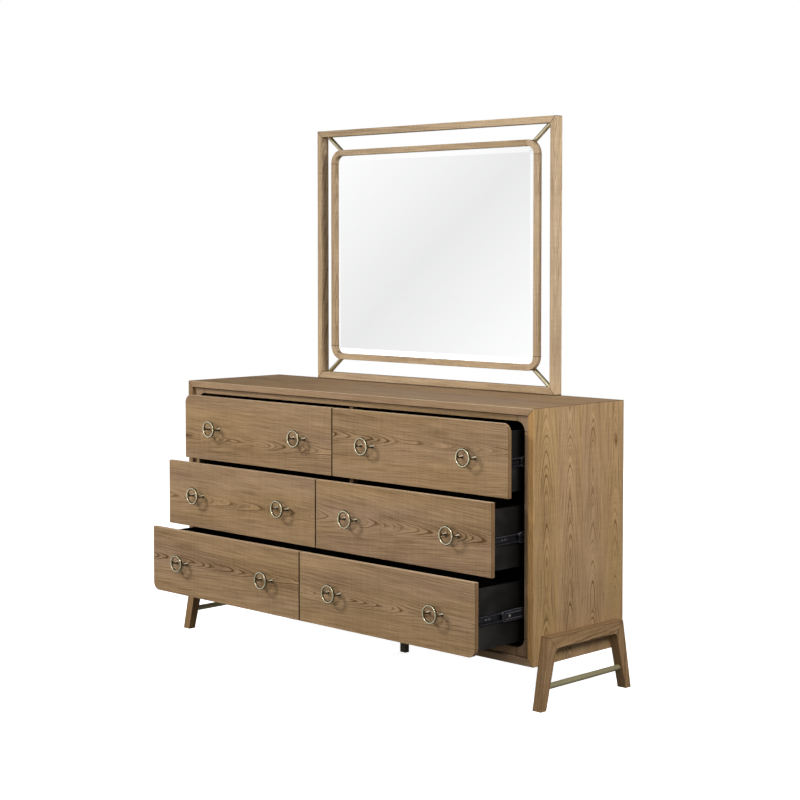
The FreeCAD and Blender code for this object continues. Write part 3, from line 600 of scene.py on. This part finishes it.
# The corner rods carry painted shade on faces that look up or down; the stretcher rods are painted darker
# underneath.
brass = metal("antique_brass", (0.66, 0.60, 0.40), (0.30, 0.25, 0.145), 0.40, level_face_shade=0.5)
zinc = metal("zinc_steel", (0.62, 0.63, 0.64), (0.50, 0.51, 0.52), 0.3)
dull_zinc = metal("dull_zinc", (0.30, 0.30, 0.33), (0.16, 0.16, 0.18), 0.4)
rod_brass = metal("rod_brass", (0.50, 0.44, 0.255), (0.27, 0.23, 0.125), 0.5, underside_shade=1.0, bare=0.5)
finish(brass, "mirror_corner_rods")
finish(rod_brass, "stretcher_rods")
finish(zinc, "leg_frame_bolts", "support_plate_screws", "mirror_support_plates")
print("metals:", brass.name, zinc.name)

# %% Black slide steel
BLACK_COAT = (0.010, 0.010, 0.013, 1.0)
GRIMY_COAT = (0.005, 0.005, 0.007, 1.0)
# Painted highlight: the bends of the members are painted a paler grey, mottled by the grime noise.
BEND_HIGHLIGHT = (0.12, 0.12, 0.135, 1.0)
slide_steel, tree, shader, place = new_finish("black_slide_steel")
grime = noise(tree, place, (60.0, 25.0, 60.0), 6.0, 4.0, 0.6)
bend = facing_up(tree)
bend = calc(tree, "MULTIPLY", bend, calc(tree, "SUBTRACT", 1.0, bend))
bend_highlight = calc(tree, "MULTIPLY", spread(tree, bend, 0.08, 0.22), spread(tree, grime, 0.3, 0.6, 0.4, 1.0))
coat = mix_colours(tree, spread(tree, grime, 0.3, 0.7), BLACK_COAT, GRIMY_COAT)
plug(tree, shader.inputs["Base Color"], mix_colours(tree, bend_highlight, coat, BEND_HIGHLIGHT))
plug(tree, shader.inputs["Roughness"], spread(tree, grime, 0.3, 0.7, 0.32, 0.46))
add_bump(tree, shader, grime, 0.0002, 0.2)
shader.inputs["Specular IOR Level"].default_value = 0.2
finish(slide_steel, "cabinet_slide_members")
for row, side in DRAWERS:
    finish(slide_steel, f"{row}_{side}_drawer_slides", f"{row}_{side}_intermediate_slides")
print("slides:", slide_steel.name)

# %% Pressed and sawn faces
FRONT_LIGHT_GREY = (0.024, 0.023, 0.022, 1.0)


def pressed_board(name, colour, dark, grain, roughness, dent, gloss=0.3, lit_span=None):
    """A pressed or sawn face: streaks along one axis, a mottle, and, where lit_span is given, painted light
    that is paler towards the front and mottled.
    """
    material, tree, shader, place = new_finish(name)
    streak = noise(tree, place, grain, 3.0, 3.0, 0.6)
    mottle = noise(tree, place, (30.0, 30.0, 30.0), 4.0, 5.0, 0.65)
    spots = spread(tree, mottle, 0.3, 0.7, 0.0, 0.4)
    shade = calc(tree, "MULTIPLY_ADD", spread(tree, streak, 0.3, 0.7), 0.6, spots)
    face = mix_colours(tree, shade, (*colour, 1.0), (*dark, 1.0))
    # Painted light: paler towards the front of the box, mottled by a cloud.
    if lit_span:
        near_front = spread(tree, split(tree, place)["Y"], lit_span[1], lit_span[0])
        cloud = noise(tree, place, (9.0, 9.0, 14.0), 8.0, 3.0, 0.55)
        painted_light = calc(tree, "MULTIPLY", near_front, spread(tree, cloud, 0.42, 0.6, 0.3, 1.0))
        face = mix_colours(tree, painted_light, face, FRONT_LIGHT_GREY)
    plug(tree, shader.inputs["Base Color"], face)
    plug(tree, shader.inputs["Roughness"], calc(tree, "MULTIPLY_ADD", shade, 0.15, roughness))
    add_bump(tree, shader, streak, dent, 0.4)
    shader.inputs["Specular IOR Level"].default_value = gloss
    return material


ready(pressed_board)

# %% Foil, board and pine
ALONG_Y = (300.0, 12.0, 300.0)
ALONG_Z = (300.0, 300.0, 8.0)
ALL_WAYS = (160.0, 160.0, 160.0)
FOIL_GLOSS = 0.11
FOIL = ((0.0055, 0.005, 0.0045), (0.0025, 0.0025, 0.0025), ALONG_Y, 0.45, 0.0001)
foil = pressed_board("black_lining", *FOIL, gloss=FOIL_GLOSS)
hardboard = pressed_board("back_board", (0.30, 0.20, 0.12), (0.20, 0.13, 0.075), ALL_WAYS, 0.7, 0.0002)
pine = pressed_board("raw_pine", (0.55, 0.40, 0.23), (0.42, 0.28, 0.15), ALONG_Y, 0.65, 0.0003)
# Painted shade: the centre leg is given a very dark brown for the shadow it stands in under the case.
centre_leg_shade_wood = pressed_board(
    "dark_stained_wood", (0.085, 0.062, 0.036), (0.050, 0.035, 0.020), ALONG_Z, 0.5, 0.0003)
finish(hardboard, "back_panel", "mirror_backing_board")
finish(pine, "slide_spacers")
finish(foil, "centre_partition")
finish(centre_leg_shade_wood, "centre_support_leg")
FRONT_BOARD = 0.02
# Each row's lining is painted paler from its box front to the case front, as light reaching into the box.
for row in ROWS:
    box_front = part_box(f"{row}_right_drawer_box")[0].y
    reach = (box_front + FRONT_BOARD, case_low.y)
    box_foil = pressed_board(f"black_lining_{row}", *FOIL, gloss=FOIL_GLOSS, lit_span=reach)
    finish(box_foil, *(f"{row}_{side}_drawer_box" for side in SIDES))
print("boards:", foil.name, hardboard.name, pine.name, centre_leg_shade_wood.name)

# %% [markdown]
# ## The mirror
#
# A mirror's colour is what it faces, so its material is nearly nothing: a metal with almost no roughness.
# Clean glass still has a breath of haze in soft patches, which keeps its reflection from looking cut out.

# %% Silvered glass
CLEAR_SILVER = (0.985, 0.99, 0.987, 1.0)
HAZED_SILVER = (0.975, 0.982, 0.98, 1.0)
mirror, tree, shader, place = new_finish("silvered_glass")
haze = noise(tree, place, (6.0, 6.0, 6.0), 5.0, 4.0, 0.6)
plug(tree, shader.inputs["Base Color"], mix_colours(tree, haze, CLEAR_SILVER, HAZED_SILVER))
plug(tree, shader.inputs["Roughness"], spread(tree, haze, 0.3, 0.7, 0.006, 0.02))
shader.inputs["Metallic"].default_value = 1.0
finish(mirror, "mirror_glass")

# %% [markdown]
# ## Ring pulls
#
# Each pull is a cast ring held off the front by two turned posts. The posts are modelled as on a lathe: a
# circle is pulled out along its axis and narrowed step by step, which gives the flat foot and the taper
# towards the ring. The ring is a torus with a fine section. A union modifier then makes ring and posts
# one casting, with no walls left inside it. One pull is made, and all twelve are copies of it.

# %% Choosing and settling pieces
def start_clean():
    """Leave edit mode and select nothing, because an operator acts on all that is selected."""
    if bpy.context.object and bpy.context.object.mode != "OBJECT":
        bpy.ops.object.mode_set(mode="OBJECT")
    bpy.ops.object.select_all(action="DESELECT")


def only(piece):
    """Make a piece the only one that operators act on."""
    start_clean()
    piece.select_set(True)
    bpy.context.view_layer.objects.active = piece


def settle(piece):
    """Put the place, turn and size of a piece into its mesh."""
    only(piece)
    bpy.ops.object.transform_apply(location=True, rotation=True, scale=True)
    return piece


ready(start_clean, only, settle)

# %% Joining, copying and shading
SHARP_BEND = math.radians(40)


def join(name, pieces):
    start_clean()
    for piece in pieces:
        piece.select_set(True)
    bpy.context.view_layer.objects.active = pieces[0]
    bpy.ops.object.join()
    whole = bpy.context.object
    whole.name = name
    whole.data.name = name
    return whole


def copy_to(name, piece, offset):
    """A copy with its own mesh, moved by an offset that then goes into the mesh."""
    copy = piece.copy()
    copy.data = piece.data.copy()
    copy.name = name
    bpy.context.scene.collection.objects.link(copy)
    copy.location = offset
    return settle(copy)


def carve(piece, tool, operation="DIFFERENCE"):
    """Apply a Boolean with a tool that is then thrown away."""
    change = piece.modifiers.new("carve", "BOOLEAN")
    change.operation = operation
    change.object = tool
    only(piece)
    bpy.ops.object.modifier_apply(modifier=change.name)
    bpy.data.objects.remove(tool)


def smooth(piece, material):
    """Soft shading that keeps the sharp edges, and a finish."""
    only(piece)
    bpy.ops.object.shade_smooth_by_angle(angle=SHARP_BEND)
    piece.data.materials.clear()
    piece.data.materials.append(material)


ready(join, copy_to, carve, smooth)

# %% Turned posts
ROUND_SIDES = 28


def face_outward(piece):
    """Turn every face of a closed piece outwards."""
    only(piece)
    bpy.ops.object.mode_set(mode="EDIT")
    bpy.ops.mesh.select_all(action="SELECT")
    bpy.ops.mesh.normals_make_consistent(inside=False)
    bpy.ops.object.mode_set(mode="OBJECT")
    return piece


def lathe_post(name, place, steps):
    """Pull a circle out towards the front and resize it at each (distance, radius) step."""
    start_clean()
    reach, radius = steps[0]
    bpy.ops.mesh.primitive_circle_add(
        vertices=ROUND_SIDES, radius=radius, fill_type="NGON", location=place,
        rotation=(math.pi / 2, 0.0, 0.0))
    post = settle(bpy.context.object)
    post.name = name
    bpy.ops.object.mode_set(mode="EDIT")
    bpy.ops.mesh.select_all(action="SELECT")
    for next_reach, next_radius in steps[1:]:
        bpy.ops.mesh.extrude_region_move(TRANSFORM_OT_translate={"value": (0.0, reach - next_reach, 0.0)})
        grow = next_radius / radius
        bpy.ops.transform.resize(value=(grow, 1.0, grow))
        reach, radius = next_reach, next_radius
    return face_outward(post)


ready(face_outward, lathe_post)

# %% [markdown]
# The pulls are darkened all over, with a painted highlight in a pale colour along the front of the ring
# and along the upper side of the posts, standing in for their glints. Which part of the casting is post is
# kept as a mark on its corners, so that all twelve copies carry it with them.

# %% Brass with painted highlights
POST_BARE = 0.3
DARK_RING = (0.15, 0.125, 0.07, 1.0)
DARK_POST = (0.045, 0.036, 0.022, 1.0)
# The pale colours are painted highlights.
RING_HIGHLIGHT_COLOUR = (0.66, 0.60, 0.42, 1.0)
POST_HIGHLIGHT_COLOUR = (0.92, 0.84, 0.63, 1.0)
brass_painted_highlights, tree, shader, place = new_finish("brass_painted_highlights")
cloud = noise(tree, place, (90.0, 90.0, 90.0), 7.0, 4.0, 0.6)
normal = facing(tree)
mark = tree.nodes.new("ShaderNodeAttribute")
mark.attribute_name = "on_post"
post_share = mark.outputs["Fac"]
# Painted highlight on the front of the ring and the upper side of the posts; the rest keeps the dark
# colour.
ring_painted_highlight = spread(tree, normal["Y"], -0.72, -0.95)
upwards = normal["Z"]
post_painted_highlight = calc(tree, "MULTIPLY", spread(tree, upwards, 0.05, 0.25), spread(tree, upwards, 0.95, 0.8))
painted_highlight_share = tree.nodes.new("ShaderNodeMix")
for index, value in ((0, post_share), (2, ring_painted_highlight), (3, post_painted_highlight)):
    plug(tree, painted_highlight_share.inputs[index], value)
painted_highlight_share = calc(tree, "MULTIPLY", painted_highlight_share.outputs[0], spread(tree, cloud, 0.3, 0.55, 0.75, 1.0))
plug(tree, shader.inputs["Metallic"], spread(tree, post_share, 0.0, 1.0, 1.0, POST_BARE))
dark = mix_colours(tree, post_share, DARK_RING, DARK_POST)
highlight_colour = mix_colours(tree, post_share, RING_HIGHLIGHT_COLOUR, POST_HIGHLIGHT_COLOUR)
plug(tree, shader.inputs["Base Color"], mix_colours(tree, painted_highlight_share, dark, highlight_colour))
plug(tree, shader.inputs["Roughness"], spread(tree, cloud, 0.3, 0.7, 0.2, 0.34))
add_bump(tree, shader, cloud, 0.0002, 0.1)
print("pulls:", brass_painted_highlights.name)

# %% One ring pull
RING_WIRE = 0.0075
POST_FOOT_RADIUS = 0.0054
POST_FLARE = 0.0064
POST_WAIST = 0.0047
POST_NECK = 0.0042
FOOT_EASE = 0.0006
pull_low, pull_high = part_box("top_left_drawer_pulls")
front_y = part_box("top_left_drawer_front")[0].y
ring_radius = (pull_high.z - pull_low.z - RING_WIRE) / 2
ring_y = pull_low.y + RING_WIRE / 2
ring_z = (pull_high.z + pull_low.z) / 2
post_reach = ring_radius + POST_FOOT_RADIUS
left_x = pull_low.x + post_reach
standoff = front_y - ring_y
POST_STEPS = (
    (0.0, POST_FLARE), (0.0010, POST_FLARE), (0.0018, POST_FLARE - FOOT_EASE),
    (0.0040, POST_FLARE - 2 * FOOT_EASE), (standoff / 2, POST_WAIST), (standoff - 0.0005, POST_NECK))
start_clean()
bpy.ops.mesh.primitive_torus_add(
    major_radius=ring_radius, minor_radius=RING_WIRE / 2, major_segments=96, minor_segments=24,
    location=(left_x, ring_y, ring_z), rotation=(math.pi / 2, 0.0, 0.0))
pull = settle(bpy.context.object)
pull.name = "ring_pull"
for side in (-1, 1):
    post = lathe_post("post", (left_x + side * ring_radius, front_y, ring_z), POST_STEPS)
    carve(pull, post, "UNION")
smooth(pull, brass_painted_highlights)
on_post = pull.data.attributes.new("on_post", "FLOAT", "POINT")
for corner, mark in zip(pull.data.vertices, on_post.data):
    mark.value = float(corner.co.y > ring_y + RING_WIRE / 2)
print("one pull has", len(pull.data.polygons), "faces and stands off", round(standoff, 4))

# %% Twelve ring pulls
for row, side in DRAWERS:
    node = f"{row}_{side}_drawer_pulls"
    low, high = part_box(node)
    pair = []
    for x in (low.x + post_reach, high.x - post_reach):
        offset = Vector((x - left_x, low.y - pull_low.y, low.z - pull_low.z))
        pair.append(copy_to("pull", pull, offset))
    pulls = join(f"{row}_{side}_ring_pulls", pair)
    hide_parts(node)
    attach(pulls, f"{row}_{side}_drawer")
bpy.data.objects.remove(pull)
print("ring pulls on", len(DRAWERS), "drawers")

# %% [markdown]
# ## Slides
#
# Each drawer runs on two telescopic slides, and where a drawer stands open their members show beside its
# box. A member is rolled from steel strip: a flat web, two lips bent towards its neighbour, and soft
# bends that catch the light. Each starts as a block of the member's size. The middle member's front end
# is rounded, its bends are bevelled and a groove is carved along it, with two fine creases that stiffen
# its web. The rivet that holds its stop is nearly flush, because the members run less than half a
# millimetre apart. The runner on the drawer box has two screws and two pressed tabs.

# %% Blocks and round edges
def block(name, low, high):
    start_clean()
    low, high = Vector(low), Vector(high)
    bpy.ops.mesh.primitive_cube_add(size=1.0, location=(low + high) / 2, scale=high - low)
    piece = settle(bpy.context.object)
    piece.name = name
    return piece


def round_edges(piece, wanted, offset, segments=3):
    """Bevel the edges that are wanted, judged by the places of their two ends."""
    only(piece)
    bpy.ops.object.mode_set(mode="EDIT")
    bpy.ops.mesh.select_mode(type="EDGE")
    bpy.ops.mesh.select_all(action="DESELECT")
    bpy.ops.object.mode_set(mode="OBJECT")
    corners = piece.data.vertices
    for edge in piece.data.edges:
        edge.select = wanted([corners[i].co for i in edge.vertices])
    bpy.ops.object.mode_set(mode="EDIT")
    bpy.ops.mesh.bevel(offset=offset, segments=segments, affect="EDGES")
    bpy.ops.object.mode_set(mode="OBJECT")


ready(block, round_edges)

# %% Middle member
TINY = 0.00005
WEB = 0.0015
LIP = 0.0036
BEND = 0.0012
END_ROUND = 0.012
MEMBER_DEPTH = 0.0089
OVERRUN = 0.01
mid_low, mid_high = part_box("top_right_intermediate_slides")
mid_z = (mid_low.z + mid_high.z) / 2


def on_front_corner(ends):
    """An edge of the front end that runs through the member's depth."""
    return max(end.y for end in ends) < mid_low.y + TINY and abs(ends[0].x - ends[1].x) > TINY


middle = block("middle_member", (mid_high.x - MEMBER_DEPTH, mid_low.y, mid_low.z), mid_high)
round_edges(middle, on_front_corner, END_ROUND, segments=10)
round_edges(middle, lambda ends: min(end.x for end in ends) > mid_high.x - TINY, BEND)
carve(middle, block(
    "groove", (mid_high.x - MEMBER_DEPTH - OVERRUN, mid_low.y - OVERRUN, mid_low.z + LIP),
    (mid_high.x - WEB, mid_high.y + OVERRUN, mid_high.z - LIP)))
print("middle member has", len(middle.data.polygons), "faces")

# %% Creases of the middle member
RIB_SIDE = 0.0016
RIB_HEIGHT = 0.0085
RIB_SHORT = 0.03
for height in (-RIB_HEIGHT, RIB_HEIGHT):
    start_clean()
    bpy.ops.mesh.primitive_cube_add(
        size=1.0, location=(mid_high.x, (mid_low.y + mid_high.y) / 2, mid_z + height),
        rotation=(0.0, math.pi / 4, 0.0), scale=(RIB_SIDE, mid_high.y - mid_low.y - RIB_SHORT, RIB_SIDE))
    carve(middle, settle(bpy.context.object))
smooth(middle, slide_steel)
print("with its creases it has", len(middle.data.polygons), "faces")

# %% Rivet of the middle member
RIVET_RADIUS = 0.0042
RIVET_BACK = 0.034
RIVET_PROUD = 0.0003


def flat_dome(name, place, radius, proud, ease, material):
    """A disc that looks towards +X with its rim eased, standing proud of a web."""
    start_clean()
    bpy.ops.mesh.primitive_cylinder_add(
        vertices=ROUND_SIDES, radius=radius, depth=2 * proud, location=place,
        rotation=(0.0, math.pi / 2, 0.0))
    disc = settle(bpy.context.object)
    disc.name = name
    rim = place[0] + proud - TINY
    round_edges(disc, lambda ends: min(end.x for end in ends) > rim, ease)
    smooth(disc, material)
    return disc


rivet_place = (mid_high.x, mid_low.y + RIVET_BACK, mid_z)
rivet = flat_dome("rivet", rivet_place, RIVET_RADIUS, RIVET_PROUD, RIVET_PROUD * 0.8, zinc)
middle = join("middle_member", [middle, rivet])
print("rivet stands proud", RIVET_PROUD)

# %% Runner on the drawer box
run_low, run_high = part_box("top_right_drawer_slides")
run_z = (run_low.z + run_high.z) / 2
web_face = run_high.x - MEMBER_DEPTH + WEB


def on_lip(ends):
    """A long edge of the runner's open side."""
    return min(end.x for end in ends) > run_high.x - TINY and abs(ends[0].y - ends[1].y) > TINY


runner = block("runner", (run_high.x - MEMBER_DEPTH, run_low.y, run_low.z), run_high)
round_edges(runner, on_lip, BEND / 2)
carve(runner, block(
    "groove", (web_face, run_low.y - OVERRUN, run_low.z + LIP),
    (run_high.x + OVERRUN, run_high.y + OVERRUN, run_high.z - LIP)))
smooth(runner, slide_steel)
print("runner has", len(runner.data.polygons), "faces")

# %% Tabs and screws of the runner
TAB = Vector((0.0009, 0.0022, 0.0085))
TAB_BACKS = (0.046, 0.0535)
fixings = []
for back in TAB_BACKS:
    middle_of_tab = Vector((web_face, run_low.y + back, run_z))
    tab = block("tab", middle_of_tab - TAB / 2, middle_of_tab + TAB / 2)
    round_edges(tab, lambda ends: min(end.x for end in ends) > web_face, TAB.x * 0.4, segments=2)
    smooth(tab, dull_zinc)
    fixings.append(tab)
SCREW_RADIUS = 0.0032
SCREW_HEAD = 0.0016
SCREW_BACKS = (0.035, 0.30)
for back in SCREW_BACKS:
    place = (web_face, run_low.y + back, run_z)
    fixings.append(flat_dome("screw", place, SCREW_RADIUS, SCREW_HEAD, SCREW_HEAD * 0.6, dull_zinc))
runner = join("runner", [runner, *fixings])
print("runner has", len(fixings), "fixings")

# %% A pair of each member for every drawer
def flipped(piece):
    """The member for the wall on the other hand, mirrored in the dresser's middle plane."""
    other = copy_to("flipped", piece, (0.0, 0.0, 0.0))
    other.scale = (-1.0, 1.0, 1.0)
    return face_outward(settle(other))


SPAN = mid_high.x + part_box("top_right_intermediate_slides")[0].x
for member, twin, home, node_end, body_end in (
        (middle, flipped(middle), mid_low, "intermediate_slides", "intermediate_slides"),
        (runner, flipped(runner), run_low, "drawer_slides", "drawer")):
    for row, side in DRAWERS:
        node = f"{row}_{side}_{node_end}"
        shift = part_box(node)[0] - home
        shift.x = 0.0
        inward = Vector((SPAN, 0.0, 0.0))
        places = ((member, shift), (twin, shift + inward)) if side == "right" else (
            (twin, shift), (member, shift - inward))
        pair = [copy_to("member", piece, offset) for piece, offset in places]
        slides = join(f"{row}_{side}_{node_end}_rolled", pair)
        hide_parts(node)
        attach(slides, f"{row}_{side}_{body_end}")
    bpy.data.objects.remove(member)
    bpy.data.objects.remove(twin)
print("slide members for", len(DRAWERS), "drawers")

# %% [markdown]
# ## The studio
#
# The photograph has a plain white ground and a soft key light high on the left, which throws each ring's
# shadow down to the right. A weaker lamp in front puts the glints on the brass, and broad fills open up
# the end of the case, the back and the shadows. The world is white to the camera and in reflections, and
# only a soft grey to the wood, so the ground can be white while the colours stay as they are written. The
# mirror faces the front left, and what it sees there is a softly graded backdrop.

# %% Floor
FLOOR_WIDTH = 16.0
start_clean()
bpy.ops.mesh.primitive_grid_add(
    x_subdivisions=8, y_subdivisions=8, size=FLOOR_WIDTH, location=(0.0, 0.0, 0.0))
floor = bpy.context.object
floor.name = "studio_floor"
print("floor is", floor.dimensions.x, "m wide")

# %% Floor paper
floor_finish, tree, shader, place = new_finish("studio_paper")
shader.inputs["Roughness"].default_value = 0.9
shader.inputs["Specular IOR Level"].default_value = 0.0


def seen_directly(tree):
    """1 for a ray from the camera or passed on by metal or glass, 0 for light that falls on the wood."""
    rays = tree.nodes.new("ShaderNodeLightPath").outputs
    seen = calc(tree, "MAXIMUM", rays["Is Camera Ray"], rays["Is Glossy Ray"])
    return calc(tree, "MAXIMUM", seen, rays["Is Transmission Ray"])


PAPER_GLOW = 0.87
PAPER_SEEN = (0.88, 0.88, 0.88, 1.0)
PAPER_PALE = (0.92, 0.92, 0.92, 1.0)
PAPER_BOUNCE = (0.07, 0.07, 0.07, 1.0)
# Painted shade: to metal and glass, the paper within NEAR_REACH of the dresser looks dimmer, as if shaded
# by it.
NEAR_DIM = 0.22
NEAR_REACH = 2.5
FAR_REACH = 5.0
seen = seen_directly(tree)
length = tree.nodes.new("ShaderNodeVectorMath")
length.operation = "LENGTH"
plug(tree, length.inputs[0], place)
far = spread(tree, length.outputs["Value"], NEAR_REACH, FAR_REACH, NEAR_DIM, 1.0)
straight = tree.nodes.new("ShaderNodeLightPath").outputs["Is Camera Ray"]
seen = calc(tree, "MULTIPLY", seen, calc(tree, "MAXIMUM", straight, far))
mottle = noise(tree, place, (1.0, 1.0, 1.0), 0.0, 3.0)
paper = mix_colours(tree, mottle, PAPER_SEEN, PAPER_PALE)
plug(tree, shader.inputs["Base Color"], mix_colours(tree, seen, PAPER_BOUNCE, paper))
glow = tree.nodes.new("ShaderNodeEmission")
plug(tree, glow.inputs["Strength"], calc(tree, "MULTIPLY", seen, PAPER_GLOW))
both = tree.nodes.new("ShaderNodeAddShader")
plug(tree, both.inputs[0], shader.outputs[0])
plug(tree, both.inputs[1], glow.outputs[0])
plug(tree, tree.nodes["Material Output"].inputs["Surface"], both.outputs[0])
floor.data.materials.append(floor_finish)
print("floor finish:", floor_finish.name)

# %% What the mirror sees
CAMERA_PLACE = Vector((4.1057, -4.2017, 1.3517))
glass_low, glass_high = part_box("mirror_glass")
glass_y = (glass_low.y + glass_high.y) / 2


def mirrored_way(x, z):
    """Where the camera's look goes after the mirror has turned it back at a point of the glass."""
    way = (Vector((x, glass_y, z)) - CAMERA_PLACE).normalized()
    return Vector((way.x, -way.y, way.z))


centre_way = mirrored_way(0.0, (glass_low.z + glass_high.z) / 2)
top_left_way = mirrored_way(glass_low.x, glass_high.z)
band_along = mirrored_way(glass_high.x, glass_high.z) - mirrored_way(glass_low.x, glass_low.z)
band_side = centre_way.cross(band_along).normalized()
band_reach = abs(band_side.dot(top_left_way))
print("grey band reaches", round(math.degrees(math.asin(band_reach)), 1), "degrees either side")

# %% World
AMBIENT_SIDE = 0.42
AMBIENT_ABOVE = 0.06
BAND_GREY = 0.83
DIM_SIDE = 0.2
OVERHEAD = Vector((0.2, -0.6, 0.77)).normalized()
world = bpy.data.worlds.new("white_studio")
bpy.context.scene.world = world
world.use_nodes = True
tree = world.node_tree
soft = tree.nodes["Background"]
white = tree.nodes.new("ShaderNodeBackground")
for ground in (soft, white):
    ground.inputs["Color"].default_value = (1.0, 1.0, 1.0, 1.0)
look = tree.nodes.new("ShaderNodeTexCoord").outputs["Generated"]


def towards(direction):
    """How far a look points in a direction: 1 straight at it, 0 across it, -1 away from it."""
    node = tree.nodes.new("ShaderNodeVectorMath")
    node.operation = "DOT_PRODUCT"
    plug(tree, node.inputs[0], look)
    node.inputs[1].default_value = direction
    return node.outputs["Value"]


band = spread(tree, calc(tree, "ABSOLUTE", towards(band_side)), 0.0, band_reach, BAND_GREY, 1.0)
level = calc(tree, "MULTIPLY", band, spread(tree, towards(centre_way), 0.75, 0.94, DIM_SIDE, 1.0))
level = calc(tree, "MAXIMUM", level, spread(tree, towards(OVERHEAD), 0.82, 0.95))
ambient = spread(tree, towards((0.0, 0.0, 1.0)), -0.2, 0.9, AMBIENT_SIDE, AMBIENT_ABOVE)
plug(tree, soft.inputs["Strength"], ambient)
rays = tree.nodes.new("ShaderNodeLightPath").outputs
plug(tree, white.inputs["Strength"], calc(tree, "MAXIMUM", level, rays["Is Camera Ray"]))
mix = tree.nodes.new("ShaderNodeMixShader")
plug(tree, mix.inputs[0], seen_directly(tree))
plug(tree, mix.inputs[1], soft.outputs[0])
plug(tree, mix.inputs[2], white.outputs[0])
plug(tree, tree.nodes["World Output"].inputs["Surface"], mix.outputs[0])
print("world:", world.name)

# %% Lamps
def soft_box(name, place, target, size, watts, glint=False):
    lamp = bpy.data.lights.new(name, "AREA")
    lamp.shape = "SQUARE"
    lamp.size = size
    lamp.energy = watts
    box = bpy.data.objects.new(name, lamp)
    box.location = place
    box.rotation_euler = (Vector(target) - Vector(place)).to_track_quat("-Z", "Y").to_euler()
    box.visible_glossy = glint
    box.visible_camera = False
    bpy.context.scene.collection.objects.link(box)


soft_box("key_left", (-5.5, -5.4, 5.3), (0.3, -0.3, 0.6), 1.7, 445.0)
soft_box("key_front", (-0.3, -6.2, 2.3), (0.3, -0.3, 0.75), 1.05, 86.0, glint=True)
soft_box("fill_above", (-2.6, -3.2, 5.5), (0.0, -0.2, 0.8), 2.4, 15.0)
soft_box("fill_right", (2.7, -0.35, 2.0), (0.8, -0.1, 0.9), 0.9, 57.0)
soft_box("fill_front", (2.2, -4.8, 2.0), (0.3, -0.3, 0.9), 3.0, 40.0)
soft_box("fill_left", (-4.2, -0.3, 1.2), (-0.8, -0.1, 0.9), 1.6, 8.0)
soft_box("fill_back", (-0.5, 5.0, 0.95), (0.0, 0.1, 0.85), 2.0, 110.0)
print("lamps:", [light.name for light in bpy.data.lights])

# %% [markdown]
# ## The camera
#
# The camera's place and angle were worked out from the corners of the case, the mirror and the drawer
# fronts in the photograph. The dresser stands a little low in the picture, which a small lens shift gives
# without tilting the uprights.

# %% Camera
TURN = math.radians(44.489)
TILT = math.radians(90.0 - 2.334)
lens = bpy.data.cameras.new("photo_camera")
lens.sensor_width = 36.0
lens.lens = 79.165
lens.shift_y = -0.0978
camera = bpy.data.objects.new("photo_camera", lens)
camera.location = CAMERA_PLACE
camera.rotation_euler = (TILT, 0.0, TURN)
bpy.context.scene.collection.objects.link(camera)
bpy.context.scene.camera = camera
bpy.context.scene.view_settings.view_transform = "Standard"
print("camera stands", round(CAMERA_PLACE.length, 2), "m away")
